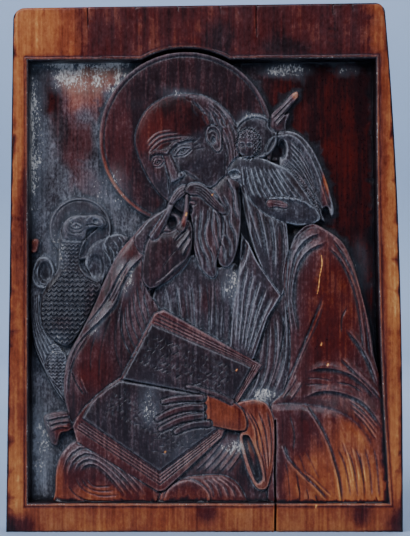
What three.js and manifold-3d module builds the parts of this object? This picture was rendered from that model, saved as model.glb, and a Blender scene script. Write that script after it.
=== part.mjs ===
// A carved icon board, one piece of wood, in millimetres. +Z is up and the carved front faces -Y.
// The blank is a hand-cut plank that narrows toward its top. A field is sunk into its front, and
// what is left standing there is the relief: an elder with a halo and an open book, a small angel
// at the shoulder and an eagle with a halo. The relief is a map of heights above the field's floor.
// It is turned into triangles, and the wood in front of it is cut from the blank as one solid.

import * as THREE from 'three';
import Module from 'manifold-3d';

const wasm = await Module();
wasm.setup();

// The plank
const BOARD_WIDTH = 300;
const BOARD_HEIGHT = 400;
const BOARD_THICKNESS = 38;
const LEFT_LEAN = 5.5;
const RIGHT_LEAN = 14;
const RIGHT_BOW = 2.6;
const TOP_FALL = 4;
const TOP_LEFT_ROUND = 9;
const TOP_RIGHT_ROUND = 7;
const ARRIS = 1.2;

// The sunk field and its borders, each width taken at the field's foot or at its top
const FIELD_DEPTH = 14;
const LEFT_BORDER = 17;
const RIGHT_BORDER = 10.5;
const FOOT_BORDER = 22;
const TOP_BORDER = 42;
const FIELD_RIGHT_LEAN = 10;
const FIELD_RIGHT_BOW = 2.6;
const WALL_DRAFT = 1.2;
const LIP_FLARE = 1.4;
const LIP_DEPTH = 2.5;
const HALO_CHANNEL = 2;

// The drying crack that runs up from the foot
const CRACK_ACROSS = 53.5;
const CRACK_LENGTH = 77;
const CRACK_WIDTH = 1.2;
const CRACK_DEPTH = 9;

// The carving is drawn once at this size, from the middle of the board's foot, and fitted to the field
const DRAWN_LEFT = -133;
const DRAWN_RIGHT = 139.5;
const DRAWN_FOOT = 22;
const DRAWN_TOP = 358;
const DRAWN_DEPTH = 14;
const DRAWN_MARGIN = 9;
const GRID_STEP = 1;
const SOFT_WALL = 1.1;
const HIGHEST = 13.7;
const POINT_BUDGET = 4550;

const SIDE_STEPS = 8;
const ROUND_STEPS = 5;
const HALO_STEPS = 72;
const FRONT_CLEARANCE = 3;

const halfWidth = BOARD_WIDTH / 2;
const frontY = -BOARD_THICKNESS / 2;
const backY = BOARD_THICKNESS / 2;
const fieldWidth = BOARD_WIDTH - LEFT_BORDER - RIGHT_BORDER;
const fieldHeight = BOARD_HEIGHT - FOOT_BORDER - TOP_BORDER;
const floorY = frontY + FIELD_DEPTH;
const acrossScale = fieldWidth / (DRAWN_RIGHT - DRAWN_LEFT);
const upScale = fieldHeight / (DRAWN_TOP - DRAWN_FOOT);
const depthScale = FIELD_DEPTH / DRAWN_DEPTH;

function place(x, z, height) {
  return [
    -halfWidth + LEFT_BORDER + (x - DRAWN_LEFT) * acrossScale,
    floorY - height * depthScale,
    FOOT_BORDER + (z - DRAWN_FOOT) * upScale,
  ];
}

// Height map

const columns = Math.round((DRAWN_RIGHT - DRAWN_LEFT + 2 * DRAWN_MARGIN) / GRID_STEP) + 1;
const rows = Math.round((DRAWN_TOP - DRAWN_FOOT + 2 * DRAWN_MARGIN) / GRID_STEP) + 1;
const gridLeft = DRAWN_LEFT - DRAWN_MARGIN;
const gridFoot = DRAWN_FOOT - DRAWN_MARGIN;
const heights = new Float64Array(columns * rows);

const mix = THREE.MathUtils.lerp;
const ease = THREE.MathUtils.smoothstep;
const clamp = THREE.MathUtils.clamp;

function smooth(points, closed = false) {
  const corners = points.map(([x, z]) => new THREE.Vector3(x, 0, z));
  const run = new THREE.CatmullRomCurve3(corners, closed, 'centripetal');
  return run.getPoints(points.length * 4).map((point) => [point.x, point.z]);
}

function circle([x, z], across, up = across, steps = HALO_STEPS) {
  return Array.from({ length: steps }, (_, step) => {
    const angle = (step / steps) * 2 * Math.PI;
    return [x + across * Math.cos(angle), z + up * Math.sin(angle)];
  });
}

// Changes every grid point within reach of a run of points: change(old, x, z) gives the new height
function edit(run, reach, change) {
  const xs = run.map((point) => point[0]);
  const zs = run.map((point) => point[1]);
  const first = Math.max(0, Math.floor((Math.min(...xs) - reach - gridLeft) / GRID_STEP));
  const last = Math.min(columns - 1, Math.ceil((Math.max(...xs) + reach - gridLeft) / GRID_STEP));
  const lowest = Math.max(0, Math.floor((Math.min(...zs) - reach - gridFoot) / GRID_STEP));
  const highest = Math.min(rows - 1, Math.ceil((Math.max(...zs) + reach - gridFoot) / GRID_STEP));
  for (let row = lowest; row <= highest; row += 1) {
    for (let column = first; column <= last; column += 1) {
      const cell = row * columns + column;
      const x = gridLeft + column * GRID_STEP;
      const z = gridFoot + row * GRID_STEP;
      heights[cell] = change(heights[cell], x, z);
    }
  }
}

// Distance from a point to one stretch of a run, and how far along that stretch the nearest point is
function reachTo([ax, az], [bx, bz], x, z) {
  const lengthSquared = (bx - ax) ** 2 + (bz - az) ** 2 || 1;
  const along = clamp(((x - ax) * (bx - ax) + (z - az) * (bz - az)) / lengthSquared, 0, 1);
  return [Math.hypot(x - mix(ax, bx, along), z - mix(az, bz, along)), along];
}

// Distance inside a closed outline, negative outside it
function depthInside(outline, x, z) {
  let nearest = Infinity;
  let inside = false;
  outline.forEach((start, index) => {
    const end = outline[(index + 1) % outline.length];
    nearest = Math.min(nearest, reachTo(start, end, x, z)[0]);
    const crosses = start[1] > z !== end[1] > z;
    if (crosses && x < start[0] + ((z - start[1]) * (end[0] - start[0])) / (end[1] - start[1])) {
      inside = !inside;
    }
  });
  return inside ? nearest : -nearest;
}

// Distance to an open run, and the share of its length at the nearest point
function reachAlong(run, x, z) {
  let nearest = [Infinity, 0];
  for (let index = 0; index + 1 < run.length; index += 1) {
    const [distance, along] = reachTo(run[index], run[index + 1], x, z);
    if (distance < nearest[0]) {
      nearest = [distance, (index + along) / (run.length - 1)];
    }
  }
  return nearest;
}

// A form with its edge at one height, swelling by crown over the first `round` millimetres inward
function lay(outline, { edge, crown = 0, round = 10, rise = 0, sideRise = 0 }) {
  const middleX = outline.reduce((sum, point) => sum + point[0], 0) / outline.length;
  const middleZ = outline.reduce((sum, point) => sum + point[1], 0) / outline.length;
  edit(outline, SOFT_WALL, (old, x, z) => {
    const inward = depthInside(outline, x, z);
    const swell = Math.sqrt(1 - (1 - clamp(inward / round, 0, 1)) ** 2);
    const level = edge + crown * swell + rise * (z - middleZ) + sideRise * (x - middleX);
    return mix(old, level, ease(inward, -SOFT_WALL, SOFT_WALL));
  });
}

// A groove along a run, deepest on the run itself and fading at its ends. Negative depth is a ridge.
function groove(run, { width, depth, fade = 0.15 }) {
  edit(run, width / 2, (old, x, z) => {
    const [distance, share] = reachAlong(run, x, z);
    const across = Math.max(0, 1 - distance / (width / 2));
    const ends = ease(share, -0.02, fade) * ease(1 - share, -0.02, fade);
    return old - depth * across * (2 - across) * ends;
  });
}

// A half-round limb, such as a finger, from one radius to another, its crest at the given height
function limb(run, { from, to = from, crest, bulge = 2.5 }) {
  edit(run, Math.max(from, to) + SOFT_WALL, (old, x, z) => {
    const [distance, share] = reachAlong(run, x, z);
    const radius = mix(from, to, share);
    const across = clamp(distance / radius, 0, 1);
    const level = crest - bulge * (1 - Math.sqrt(1 - across ** 2));
    return mix(old, level, ease(radius - distance, -SOFT_WALL, SOFT_WALL));
  });
}

function pointAlong(run, share) {
  const place = share * (run.length - 1);
  const index = Math.min(Math.floor(place), run.length - 2);
  const [start, end] = [run[index], run[index + 1]];
  return [mix(start[0], end[0], place - index), mix(start[1], end[1], place - index)];
}

// Several grooves side by side: the first and last are given and the others lie evenly between
function fan(first, last, count, stroke) {
  const [start, end] = [smooth(first), smooth(last)];
  const steps = Math.max(start.length, end.length);
  for (let index = 0; index < count; index += 1) {
    const run = Array.from({ length: steps }, (_, step) => {
      const [ax, az] = pointAlong(start, step / (steps - 1));
      const [bx, bz] = pointAlong(end, step / (steps - 1));
      return [mix(ax, bx, index / (count - 1)), mix(az, bz, index / (count - 1))];
    });
    groove(run, stroke);
  }
}

// Halos

const HALO_CENTRE = [-14, 297.5];
const HALO_RADIUS = 66;
const HALO_LEVEL = 7.5;
const HALO_RISE = 0.05;
const HALO_RIM = 3.5;

function haloDisc(centre, radius, { level, rise = 0, rim, rimHeight }) {
  lay(circle(centre, radius), { edge: level, rise });
  const rimLine = circle(centre, radius - rim / 2);
  const ring = [...rimLine, rimLine[0]];
  groove(ring, { width: rim, depth: -rimHeight, fade: 0 });
}

function halos() {
  haloDisc([-94.5, 229.5], 23.5, { level: 3, rim: 2, rimHeight: 0.8 });
  haloDisc(HALO_CENTRE, HALO_RADIUS, {
    level: HALO_LEVEL, rise: HALO_RISE, rim: HALO_RIM, rimHeight: 0.8,
  });
  haloDisc([38.5, 299], 17, { level: 9, rim: 2.5, rimHeight: 0.7 });
}

// The eagle, standing at the left with its wings half open

function eagle() {
  const leftWing = smooth([
    [-131, 204], [-120.5, 211.5], [-113.5, 190.5], [-122, 165], [-107.5, 136], [-106, 97],
    [-115, 103], [-131, 156.5],
  ], true);
  lay(leftWing, { edge: 3, crown: 2, round: 8 });
  fan([[-130, 200], [-130, 160], [-107, 104]], [[-118, 190], [-124, 165], [-108, 126]], 4,
    { width: 3.5, depth: 1.1 });
  const rightWing = smooth([
    [-91, 204], [-76, 222], [-58, 222], [-64, 209.5], [-83.5, 171.5], [-88, 163.5], [-86.5, 193.5],
  ], true);
  lay(rightWing, { edge: 2.5, crown: 2, round: 8 });
  fan([[-86.5, 194], [-78, 214], [-66, 222]], [[-80, 178], [-71, 202], [-61, 217]], 3,
    { width: 3.5, depth: 1 });
  const body = smooth([
    [-110, 226.5], [-112, 198], [-124, 176], [-122, 155], [-106, 139], [-100, 141.5], [-78, 178.5],
    [-91.5, 196], [-94, 210], [-89.5, 228], [-98, 236],
  ], true);
  lay(body, { edge: 3.5, crown: 6, round: 16 });
  const thigh = smooth([
    [-119.5, 130], [-116.5, 136], [-106, 134], [-106, 97], [-116.5, 112],
  ], true);
  lay(thigh, { edge: 4, crown: 2, round: 7 });
  const head = smooth([
    [-106, 231], [-101.5, 238], [-94, 240], [-83, 238.5], [-76.5, 234], [-81, 231.5], [-89, 229],
    [-92, 220], [-106, 221],
  ], true);
  lay(head, { edge: 6.5, crown: 3, round: 9 });
  groove(smooth([[-104, 231], [-98, 227.5], [-92, 229.5]]), { width: 3, depth: 1.2 });
}

// The seat's drape and the knees, along the field's foot

function knees() {
  const drape = smooth([
    [-122, 86.5], [-112, 90.5], [-101.5, 89.5], [-97, 82], [-109, 74], [-112, 64.5], [-116, 66],
  ], true);
  lay(drape, { edge: 5, crown: 2, round: 6 });
  fan([[-120, 84], [-101, 88]], [[-118, 77], [-101, 82]], 2, { width: 3, depth: 1.2 });
  lay([[-41, 14], [-41, 47], [-26, 69.5], [8.5, 77], [30, 81], [44, 47], [60, 14]],
    { edge: 6, crown: 1.5, round: 12 });
  fan([[-20, 38], [-4, 53]], [[16, 44], [29, 58]], 4, { width: 4, depth: 1.2 });
  const farKnee = smooth([
    [-114, 14], [-112, 50], [-106, 62], [-95.5, 69], [-82.5, 65], [-60, 51], [-36.5, 33.5],
    [-28, 14],
  ], true);
  lay(farKnee, { edge: 6.5, crown: 4.5, round: 16 });
  fan([[-104.5, 46.5], [-92, 62], [-72, 54], [-46, 24]], [[-90, 40], [-82, 45], [-74, 41], [-64, 30]],
    4, { width: 5, depth: 1.6 });
  const nearKnee = smooth([[-14, 14], [-5, 36.5], [10, 43], [27, 35], [38, 14]], true);
  lay(nearKnee, { edge: 8, crown: 3, round: 12 });
  fan([[-5, 32], [6, 33], [14, 22]], [[10, 41], [21, 36], [29, 24]], 3, { width: 4, depth: 1.2 });
}

// The robe: the raised sleeve at the left, the chest, the collar and the mantle's edge

function robe() {
  const chest = smooth([
    [-21.5, 203], [-3.5, 210], [8, 200], [24, 203], [28, 186.5], [25.5, 152.5], [21, 128],
    [-3.5, 138], [-33.5, 158], [-39.5, 178],
  ], true);
  lay(chest, { edge: 6, crown: 1.2, round: 20, sideRise: 0.03 });
  fan([[-29, 190], [-27, 160]], [[19, 192], [20, 140]], 8, { width: 4.5, depth: 1.6 });
  const sleeve = smooth([
    [-43.5, 237], [-58, 220], [-83.5, 171.5], [-104, 131.5], [-107, 111], [-104.5, 92.5],
    [-98, 80], [-79, 96], [-58, 114], [-38, 155], [-34, 168], [-41, 182], [-27.5, 189.5],
    [-10, 206], [-9.5, 226], [-24.5, 242], [-34, 242],
  ], true);
  lay(sleeve, { edge: 6.5, crown: 4.5, round: 14 });
  groove(smooth([[-48, 206], [-62.5, 189], [-67.5, 173], [-93, 144.5], [-101, 128]]),
    { width: 7, depth: 2 });
  fan([[-67, 168], [-66, 155], [-57, 136]], [[-44, 194], [-40.5, 178.5], [-38, 164]], 6,
    { width: 4, depth: 1.5 });
  fan([[-71, 164], [-80, 142], [-84, 112]], [[-68, 160], [-72, 140], [-70, 116]], 3,
    { width: 4, depth: 1.2 });
  groove(smooth([[-101.5, 122.5], [-96.5, 112], [-91, 104.5]]), { width: 4, depth: 1.2 });
}

function mantle() {
  const side = smooth([
    [57, 190], [66, 178], [72, 145], [66, 100], [43.5, 92.5], [24, 95], [38, 124], [36, 134],
    [48, 164],
  ], true);
  lay(side, { edge: 7, crown: 1.5, round: 10 });
  fan([[62.5, 175.5], [67.5, 156.5], [66, 130], [57, 102]], [[44, 142], [40.5, 118], [34, 98]], 4,
    { width: 5, depth: 1.7 });
  const collar = smooth([
    [27.5, 267.5], [43.5, 266], [59.5, 244], [64, 217], [63, 190], [56, 177], [40, 196],
    [32, 217], [28, 245],
  ], true);
  lay(collar, { edge: 8.5, crown: 2.5, round: 10 });
  fan([[31, 257], [38, 222], [45, 198]], [[53, 248], [57.5, 228], [58, 196]], 4,
    { width: 5, depth: 1.5 });
  const lapel = [
    [28, 224], [34, 216], [41, 198], [58, 178.5], [48, 162], [37.5, 131], [30, 124], [18.5, 134],
    [21.5, 168], [25.5, 194.5],
  ];
  lay(lapel, { edge: 9, crown: 1.8, round: 6 });
  fan([[29, 206], [25, 168], [23, 138]], [[50, 181], [42, 160], [34, 134]], 4,
    { width: 5, depth: 1.6 });
}

// The near arm under the mantle, down to the cuff and the folds that hang from it

function nearArm() {
  const arm = smooth([
    [60, 190], [64.5, 214.5], [70.5, 226], [82, 234], [95, 228], [110, 210], [119, 181.5],
    [129.5, 130], [136, 112], [150, 96], [150, 10], [58, 10], [49.5, 18.5], [48, 77], [51, 97],
    [60, 106], [66, 137.5],
  ], true);
  lay(arm, { edge: 8, crown: 4, round: 24 });
  fan([[64, 200], [65.5, 215.5], [71.5, 224.5], [82, 232]], [[71.5, 196], [75, 208], [82, 215.5],
    [92, 220]], 3, { width: 4.5, depth: 1.6 });
  groove(smooth([[97, 217], [106, 198], [111.5, 179], [117.5, 152.5], [123, 134]]),
    { width: 4, depth: 1.2 });
  groove(smooth([[90, 178.5], [82, 159], [72, 134], [59.5, 104]]), { width: 5.5, depth: 2 });
  fan([[107.5, 154], [117.5, 141.5], [132, 112]], [[103, 132.5], [113.5, 122], [136, 99]], 2,
    { width: 5, depth: 1.7 });
  fan([[76.5, 123], [98.5, 123.5], [118, 114], [133, 97]], [[72, 103], [98, 107], [122, 97],
    [137, 76]], 2, { width: 5, depth: 1.8 });
  groove(smooth([[48, 97], [79.5, 97], [98.5, 94], [113, 86], [128, 66]]), { width: 9, depth: 2.2 });
  fan([[61, 100], [81, 119.5]], [[66, 100], [93, 116]], 2, { width: 4, depth: 1.2 });
  fan([[60, 66], [76, 40], [97, 18]], [[80, 92], [96, 52], [105, 18]], 2, { width: 5, depth: 2 });
  fan([[92, 78], [107, 40], [111, 18]], [[127, 62], [130, 41], [132, 18]], 4,
    { width: 4.5, depth: 1.3 });
  fan([[60, 58], [63, 40], [64, 18]], [[70, 46], [71, 18]], 2, { width: 4, depth: 1.2 });
  const cuff = smooth([
    [27, 92], [36, 98], [47, 99], [55, 94], [56, 69.5], [53, 45], [46, 29.5], [36, 44], [29, 63.5],
  ], true);
  lay(cuff, { edge: 9, crown: 3, round: 8 });
  fan([[31, 90], [38, 50], [45, 34]], [[50, 93], [51, 60], [47, 36]], 4, { width: 4.5, depth: 1.8 });
}

// The head. The face is of plain design by shares of the head's own height: eyes half way down, brow,
// nose and mouth at the usual shares, and a turn about the head's axis that moves them to one side.

const HEAD_CENTRE = [-14.5, 288.5];
const HEAD_HEIGHT = 87;
const HEAD_LEAN = THREE.MathUtils.degToRad(24.5);
const HEAD_TURN = THREE.MathUtils.degToRad(28);
const FACE_RADIUS = HEAD_HEIGHT / 3;

// Turns an angle round the face and a share of the head's height into a drawn point
function onHead(degrees, share, reach = 1) {
  const across = FACE_RADIUS * reach * Math.sin(THREE.MathUtils.degToRad(degrees) - HEAD_TURN);
  const down = (share - 0.5) * HEAD_HEIGHT;
  return [
    HEAD_CENTRE[0] + across * Math.cos(HEAD_LEAN) + down * Math.sin(HEAD_LEAN),
    HEAD_CENTRE[1] + across * Math.sin(HEAD_LEAN) - down * Math.cos(HEAD_LEAN),
  ];
}

function eye(degrees, width) {
  const [x, z] = onHead(degrees, 0.5);
  lay(circle([x, z], width * 0.95, width * 0.7, 24), { edge: 9.4, crown: 0.2, round: 4 });
  limb([onHead(degrees - 9, 0.5), onHead(degrees + 9, 0.5)], { from: 3, crest: 11.2, bulge: 1.6 });
  groove(smooth([onHead(degrees - 14, 0.5), onHead(degrees, 0.465), onHead(degrees + 14, 0.5)]),
    { width: 2.5, depth: 0.9 });
}

function head() {
  const skull = smooth([
    [-52.5, 295.5], [-50, 308.5], [-43.5, 319.5], [-31.5, 328], [-17, 331.5], [-1, 329.5],
    [12.5, 321], [21.5, 310.5], [25, 295.5], [24.5, 277.5], [22, 258], [12, 244], [-4, 238],
    [-18, 242], [-35, 257], [-48.5, 281],
  ], true);
  lay(skull, { edge: 8.4, crown: 3.2, round: 26, rise: 0.035 });
  eye(-24, 7.5);
  eye(24, 8.5);
  const browRidge = [-42, -20, 0, 20, 46].map((angle, index) =>
    onHead(angle, [0.47, 0.41, 0.45, 0.4, 0.47][index]));
  groove(smooth(browRidge), { width: 7, depth: -1.6, fade: 0.1 });
  limb([onHead(0, 0.43), onHead(-7, 0.58), onHead(-12, 0.7)], { from: 2.4, to: 4.4, crest: 13.6 });
  const ear = smooth([
    onHead(84, 0.42), onHead(104, 0.4), onHead(118, 0.47), onHead(108, 0.6), onHead(88, 0.68),
  ], true);
  lay(ear, { edge: 10, crown: 1.8, round: 3 });
  groove(smooth([onHead(98, 0.45), onHead(104, 0.53), onHead(92, 0.62)]), { width: 3, depth: 1.4 });
  fan([[-2, 330], [4, 318], [8, 300]], [[20, 311], [22, 300], [23, 285]], 4, { width: 4, depth: 1 });
}

function beard() {
  const lobes = [
    [[-13, 256], [0, 262], [12, 268], [22, 263], [25, 241], [24.5, 222], [20, 203], [15.5, 199.5],
      [10.5, 204], [6, 222], [-4, 240]],
    [[-13, 258], [4, 260], [14, 250], [15, 225], [9.5, 203], [8.5, 192], [2.5, 195.5], [-3.5, 204],
      [-8, 222], [-9.5, 240]],
  ];
  for (const lobe of lobes) {
    lay(smooth(lobe, true), { edge: 8, crown: 3.6, round: 14 });
  }
  fan([[-7, 252], [-5, 228], [2, 200]], [[20, 258], [22, 235], [19, 208]], 5, { width: 4, depth: 1.2 });
  const moustache = smooth([[-21, 252], [-14, 261], [-4, 262.5], [5, 253], [10, 244], [14, 243]]);
  limb(moustache, { from: 4, to: 2.2, crest: 13.4, bulge: 1.8 });
  groove(smooth([[25.5, 262], [30, 229], [27.5, 206], [20, 193]]), { width: 7, depth: 6 });
}

// The small angel behind the shoulder

function angel() {
  const upperWing = smooth([
    [44, 308], [57, 321], [69, 332.5], [72, 330], [65.5, 319], [62, 303], [52, 302],
  ], true);
  lay(upperWing, { edge: 4, crown: 2.5, round: 5 });
  const lowerWing = smooth([
    [58, 302], [70.5, 302.5], [79.5, 292], [90, 274], [97, 256], [99, 241], [95.5, 238.5],
    [85, 237.5], [76, 252.5], [64, 268], [57, 280],
  ], true);
  lay(lowerWing, { edge: 5.5, crown: 3, round: 8 });
  fan([[64.5, 298], [76, 287], [85, 267], [94, 244]], [[62, 280], [70, 268], [78, 254], [85, 241]], 4,
    { width: 3.5, depth: 1.2 });
  const robeOutline = smooth([
    [24, 283], [39, 284], [52, 279], [65, 273], [75, 260.5], [82, 248.5], [88, 236.5], [75, 231],
    [60, 234], [44, 242], [34, 251], [28, 263], [16, 267], [15, 272],
  ], true);
  lay(robeOutline, { edge: 8.5, crown: 2.4, round: 9 });
  fan([[31, 277], [35, 264], [41, 250]], [[58, 272], [70, 260], [81, 244]], 5, { width: 4, depth: 1.2 });
  lay(circle([34, 294], 8.5, 11.5, 24), { edge: 9.8, crown: 2.6, round: 8 });
  lay(circle([56.5, 288], 4.2, 7.2, 16), { edge: 4 });
}

// The open book, held on the knees: the page block, the two pages and the edges of the leaves

function book() {
  const block = [
    [-63, 117], [-80.5, 104], [-97, 88], [-100, 80], [-97, 67], [-34.5, 30], [-28.5, 32], [15, 73],
    [24, 96], [44, 126], [-31, 168], [-38, 165],
  ];
  lay(block, { edge: 10.2, crown: 0.6, round: 5 });
  const lowerPage = smooth([[-64, 114], [-82, 101], [-91, 86]]);
  lay([...lowerPage, [-34, 46], [9, 78], [22, 100]], { edge: 12, crown: 0.8, round: 12 });
  lay([[-62, 116], [21, 99], [34.5, 124], [-40, 157]], { edge: 12, crown: 0.8, round: 14 });
  groove([[-62, 115], [22, 99]], { width: 4, depth: 1.2, fade: 0.02 });
  groove([[-95, 77], [-33, 38]], { width: 3, depth: 0.7, fade: 0.02 });
  groove([[-33, 38], [12, 76]], { width: 3, depth: 0.7, fade: 0.02 });
  groove([[-37, 162], [39, 125]], { width: 3, depth: 0.7, fade: 0.02 });
}

// The hands: one raised to the beard, one resting on the book

function hands() {
  const raisedPalm = smooth([
    [-35, 241], [-45, 231], [-51, 214.5], [-53, 199.5], [-42, 182], [-29, 189.5], [-13, 206],
    [-9, 222], [-10.5, 238], [-18, 233], [-25, 226.5], [-33, 228],
  ], true);
  lay(raisedPalm, { edge: 9.5, crown: 3, round: 11 });
  limb([[-36, 229], [-30, 241], [-26, 253]], { from: 4.2, to: 3, crest: 13.2 });
  limb([[-19, 224], [-14.5, 235], [-12.5, 252]], { from: 3.6, to: 2.6, crest: 13.5 });
  fan([[-24, 220], [-15, 229]], [[-19, 210], [-10.5, 226]], 3, { width: 2.8, depth: 1.3 });
  const restingPalm = smooth([
    [-4, 104], [15.5, 102.5], [29, 95], [35, 86], [34.5, 76], [13, 78], [-1, 79], [-5, 91],
  ], true);
  lay(restingPalm, { edge: 12, crown: 1.6, round: 7 });
  const fingers = [
    [[1, 101], [-18, 101.5], [-32, 98.5]],
    [[1, 94.5], [-18, 93.5], [-35.5, 86.5]],
    [[1, 88], [-17, 86], [-33, 77.5]],
    [[3, 81.5], [-11, 80.5], [-25, 74]],
  ];
  for (const finger of fingers) {
    limb(smooth(finger), { from: 3.2, to: 2.6, crest: 13.6, bulge: 2 });
  }
  limb(smooth([[17, 99], [2, 106], [-13, 109.5]]), { from: 2.8, to: 2, crest: 13.2, bulge: 1.4 });
}

// Triangles

// The opening lets the relief show: the field's outline, and the halo where it cuts the top border
function insideOpening(x, z) {
  const inField = x > DRAWN_LEFT - 3 && x < DRAWN_RIGHT + 3 && z > DRAWN_FOOT - 3 && z < DRAWN_TOP + 3;
  const fromHalo = Math.hypot(x - HALO_CENTRE[0], z - HALO_CENTRE[1]);
  return inField || fromHalo < HALO_RADIUS + 2;
}

const side = (a, b, c) => (b[0] - a[0]) * (c[1] - a[1]) - (b[1] - a[1]) * (c[0] - a[0]);

// True where a grid point lies inside the circle through a triangle's corners, in whole numbers
function insideCircle([a, b, c], point) {
  const ax = a[0] - point[0];
  const az = a[1] - point[1];
  const bx = b[0] - point[0];
  const bz = b[1] - point[1];
  const cx = c[0] - point[0];
  const cz = c[1] - point[1];
  const aa = ax * ax + az * az;
  const bb = bx * bx + bz * bz;
  const cc = cx * cx + cz * cz;
  return ax * (bz * cc - cz * bb) - az * (bx * cc - cx * bb) + aa * (bx * cz - cx * bz) > 0;
}

// A triangle over the grid with the point where the height map is farthest from its plane
function span(a, b, c) {
  const triangle = { corners: [a, b, c], error: 0, worst: null };
  const area = side(a, b, c);
  const levels = [a, b, c].map(([column, row]) => heights[row * columns + column]);
  const [first, last] = [Math.min(a[0], b[0], c[0]), Math.max(a[0], b[0], c[0])];
  const [lowest, highest] = [Math.min(a[1], b[1], c[1]), Math.max(a[1], b[1], c[1])];
  for (let row = lowest; row <= highest; row += 1) {
    for (let column = first; column <= last; column += 1) {
      const point = [column, row];
      const shares = [side(b, c, point), side(c, a, point), side(a, b, point)];
      if (shares.some((share) => share < 0)) continue;
      const plane = shares.reduce((sum, share, corner) => sum + share * levels[corner], 0) / area;
      const error = Math.abs(heights[row * columns + column] - plane);
      const [x, z] = [gridLeft + column * GRID_STEP, gridFoot + row * GRID_STEP];
      if (error > triangle.error && insideOpening(x, z)) {
        triangle.error = error;
        triangle.worst = point;
      }
    }
  }
  return triangle;
}

// Edges of a set of triangles that no neighbour in the set shares, each in its triangle's direction
function outerEdges(triangles) {
  const edges = new Map();
  const name = (start, end) => `${start} ${end}`;
  for (const { corners } of triangles) {
    corners.forEach((start, index) => {
      const end = corners[(index + 1) % 3];
      if (!edges.delete(name(end, start))) {
        edges.set(name(start, end), [start, end]);
      }
    });
  }
  return [...edges.values()];
}

// Delaunay triangles over the grid. The grid point farthest from the surface so far becomes a
// corner, again and again, until the budget of points is spent, so flat places stay coarse.
function triangulate() {
  const [right, top] = [columns - 1, rows - 1];
  let triangles = [span([0, 0], [right, 0], [right, top]), span([0, 0], [right, top], [0, top])];
  for (let points = 4; points < POINT_BUDGET; points += 1) {
    const { worst } = triangles.reduce((best, next) => (next.error > best.error ? next : best));
    const broken = triangles.filter(({ corners }) => insideCircle(corners, worst));
    const kept = triangles.filter(({ corners }) => !insideCircle(corners, worst));
    const fresh = outerEdges(broken)
      .filter(([start, end]) => side(start, end, worst) > 0)
      .map(([start, end]) => span(start, end, worst));
    triangles = [...kept, ...fresh];
  }
  return triangles;
}

// Solids

function toSolid(positions, triangles) {
  const mesh = new wasm.Mesh({
    numProp: 3,
    vertProperties: new Float32Array(positions.flat()),
    triVerts: new Uint32Array(triangles.flat()),
  });
  return new wasm.Manifold(mesh);
}

// A closed body over rings with equally many points, from the front one to the back one. Each ring
// is { y, outline }, its outline running counter-clockwise as seen from the front.
function loft(rings) {
  const count = rings[0].outline.length;
  const positions = rings.flatMap(({ y, outline }) => outline.map(([x, z]) => [x, y, z]));
  const flat = rings[0].outline.map(([x, z]) => new THREE.Vector2(x, z));
  const cap = THREE.ShapeUtils.triangulateShape(flat, []);
  const backStart = (rings.length - 1) * count;
  const triangles = cap.flatMap(([a, b, c]) => [[a, b, c], [c + backStart, b + backStart, a + backStart]]);
  for (let ring = 0; ring + 1 < rings.length; ring += 1) {
    for (let corner = 0; corner < count; corner += 1) {
      const near = ring * count + corner;
      const next = ring * count + ((corner + 1) % count);
      triangles.push([near, near + count, next], [next, near + count, next + count]);
    }
  }
  return toSolid(positions, triangles);
}

function roundCorner([x, z], radius, startDegrees) {
  return Array.from({ length: ROUND_STEPS }, (_, step) => {
    const angle = THREE.MathUtils.degToRad(startDegrees + (90 * step) / (ROUND_STEPS - 1));
    return [x + radius * Math.cos(angle), z + radius * Math.sin(angle)];
  });
}

// The plank's outline, drawn in by `inset` on every side
function plankOutline(inset) {
  const rightSide = Array.from({ length: SIDE_STEPS }, (_, step) => {
    const share = step / SIDE_STEPS;
    return [halfWidth - RIGHT_LEAN * share ** RIGHT_BOW - inset, Math.max(inset, share * BOARD_HEIGHT)];
  });
  const rightTop = [halfWidth - RIGHT_LEAN - TOP_RIGHT_ROUND, BOARD_HEIGHT - TOP_RIGHT_ROUND];
  const leftTop = [-halfWidth + LEFT_LEAN + TOP_LEFT_ROUND, BOARD_HEIGHT - TOP_FALL - TOP_LEFT_ROUND];
  return [
    ...rightSide,
    ...roundCorner(rightTop, TOP_RIGHT_ROUND - inset, 0),
    ...roundCorner(leftTop, TOP_LEFT_ROUND - inset, 90),
    [-halfWidth + inset, inset],
  ];
}

function plank() {
  return loft([
    { y: frontY, outline: plankOutline(ARRIS) },
    { y: frontY + ARRIS, outline: plankOutline(0) },
    { y: backY - ARRIS, outline: plankOutline(0) },
    { y: backY, outline: plankOutline(ARRIS) },
  ]);
}

// The field's outline, let out by `flare` on every side
function fieldOutline(flare) {
  const left = -halfWidth + LEFT_BORDER - flare;
  const rightSide = Array.from({ length: SIDE_STEPS + 1 }, (_, step) => {
    const share = step / SIDE_STEPS;
    const lean = FIELD_RIGHT_LEAN * (1 - (1 - share) ** FIELD_RIGHT_BOW);
    const z = mix(FOOT_BORDER - flare, BOARD_HEIGHT - TOP_BORDER + flare, share);
    return [halfWidth - RIGHT_BORDER - lean + flare, z];
  });
  const topLeft = [left, BOARD_HEIGHT - TOP_BORDER - TOP_FALL / 2 + flare];
  return [...rightSide, topLeft, [left, FOOT_BORDER - flare]];
}

function haloOutline(flare) {
  const outline = circle(HALO_CENTRE, HALO_RADIUS);
  return outline.map(([x, z]) => {
    const [realX, , realZ] = place(x, z, 0);
    const [middleX, , middleZ] = place(...HALO_CENTRE, 0);
    const reach = Math.hypot(realX - middleX, realZ - middleZ);
    const grown = (reach + HALO_CHANNEL + flare) / reach;
    return [mix(middleX, realX, grown), mix(middleZ, realZ, grown)];
  });
}

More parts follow.
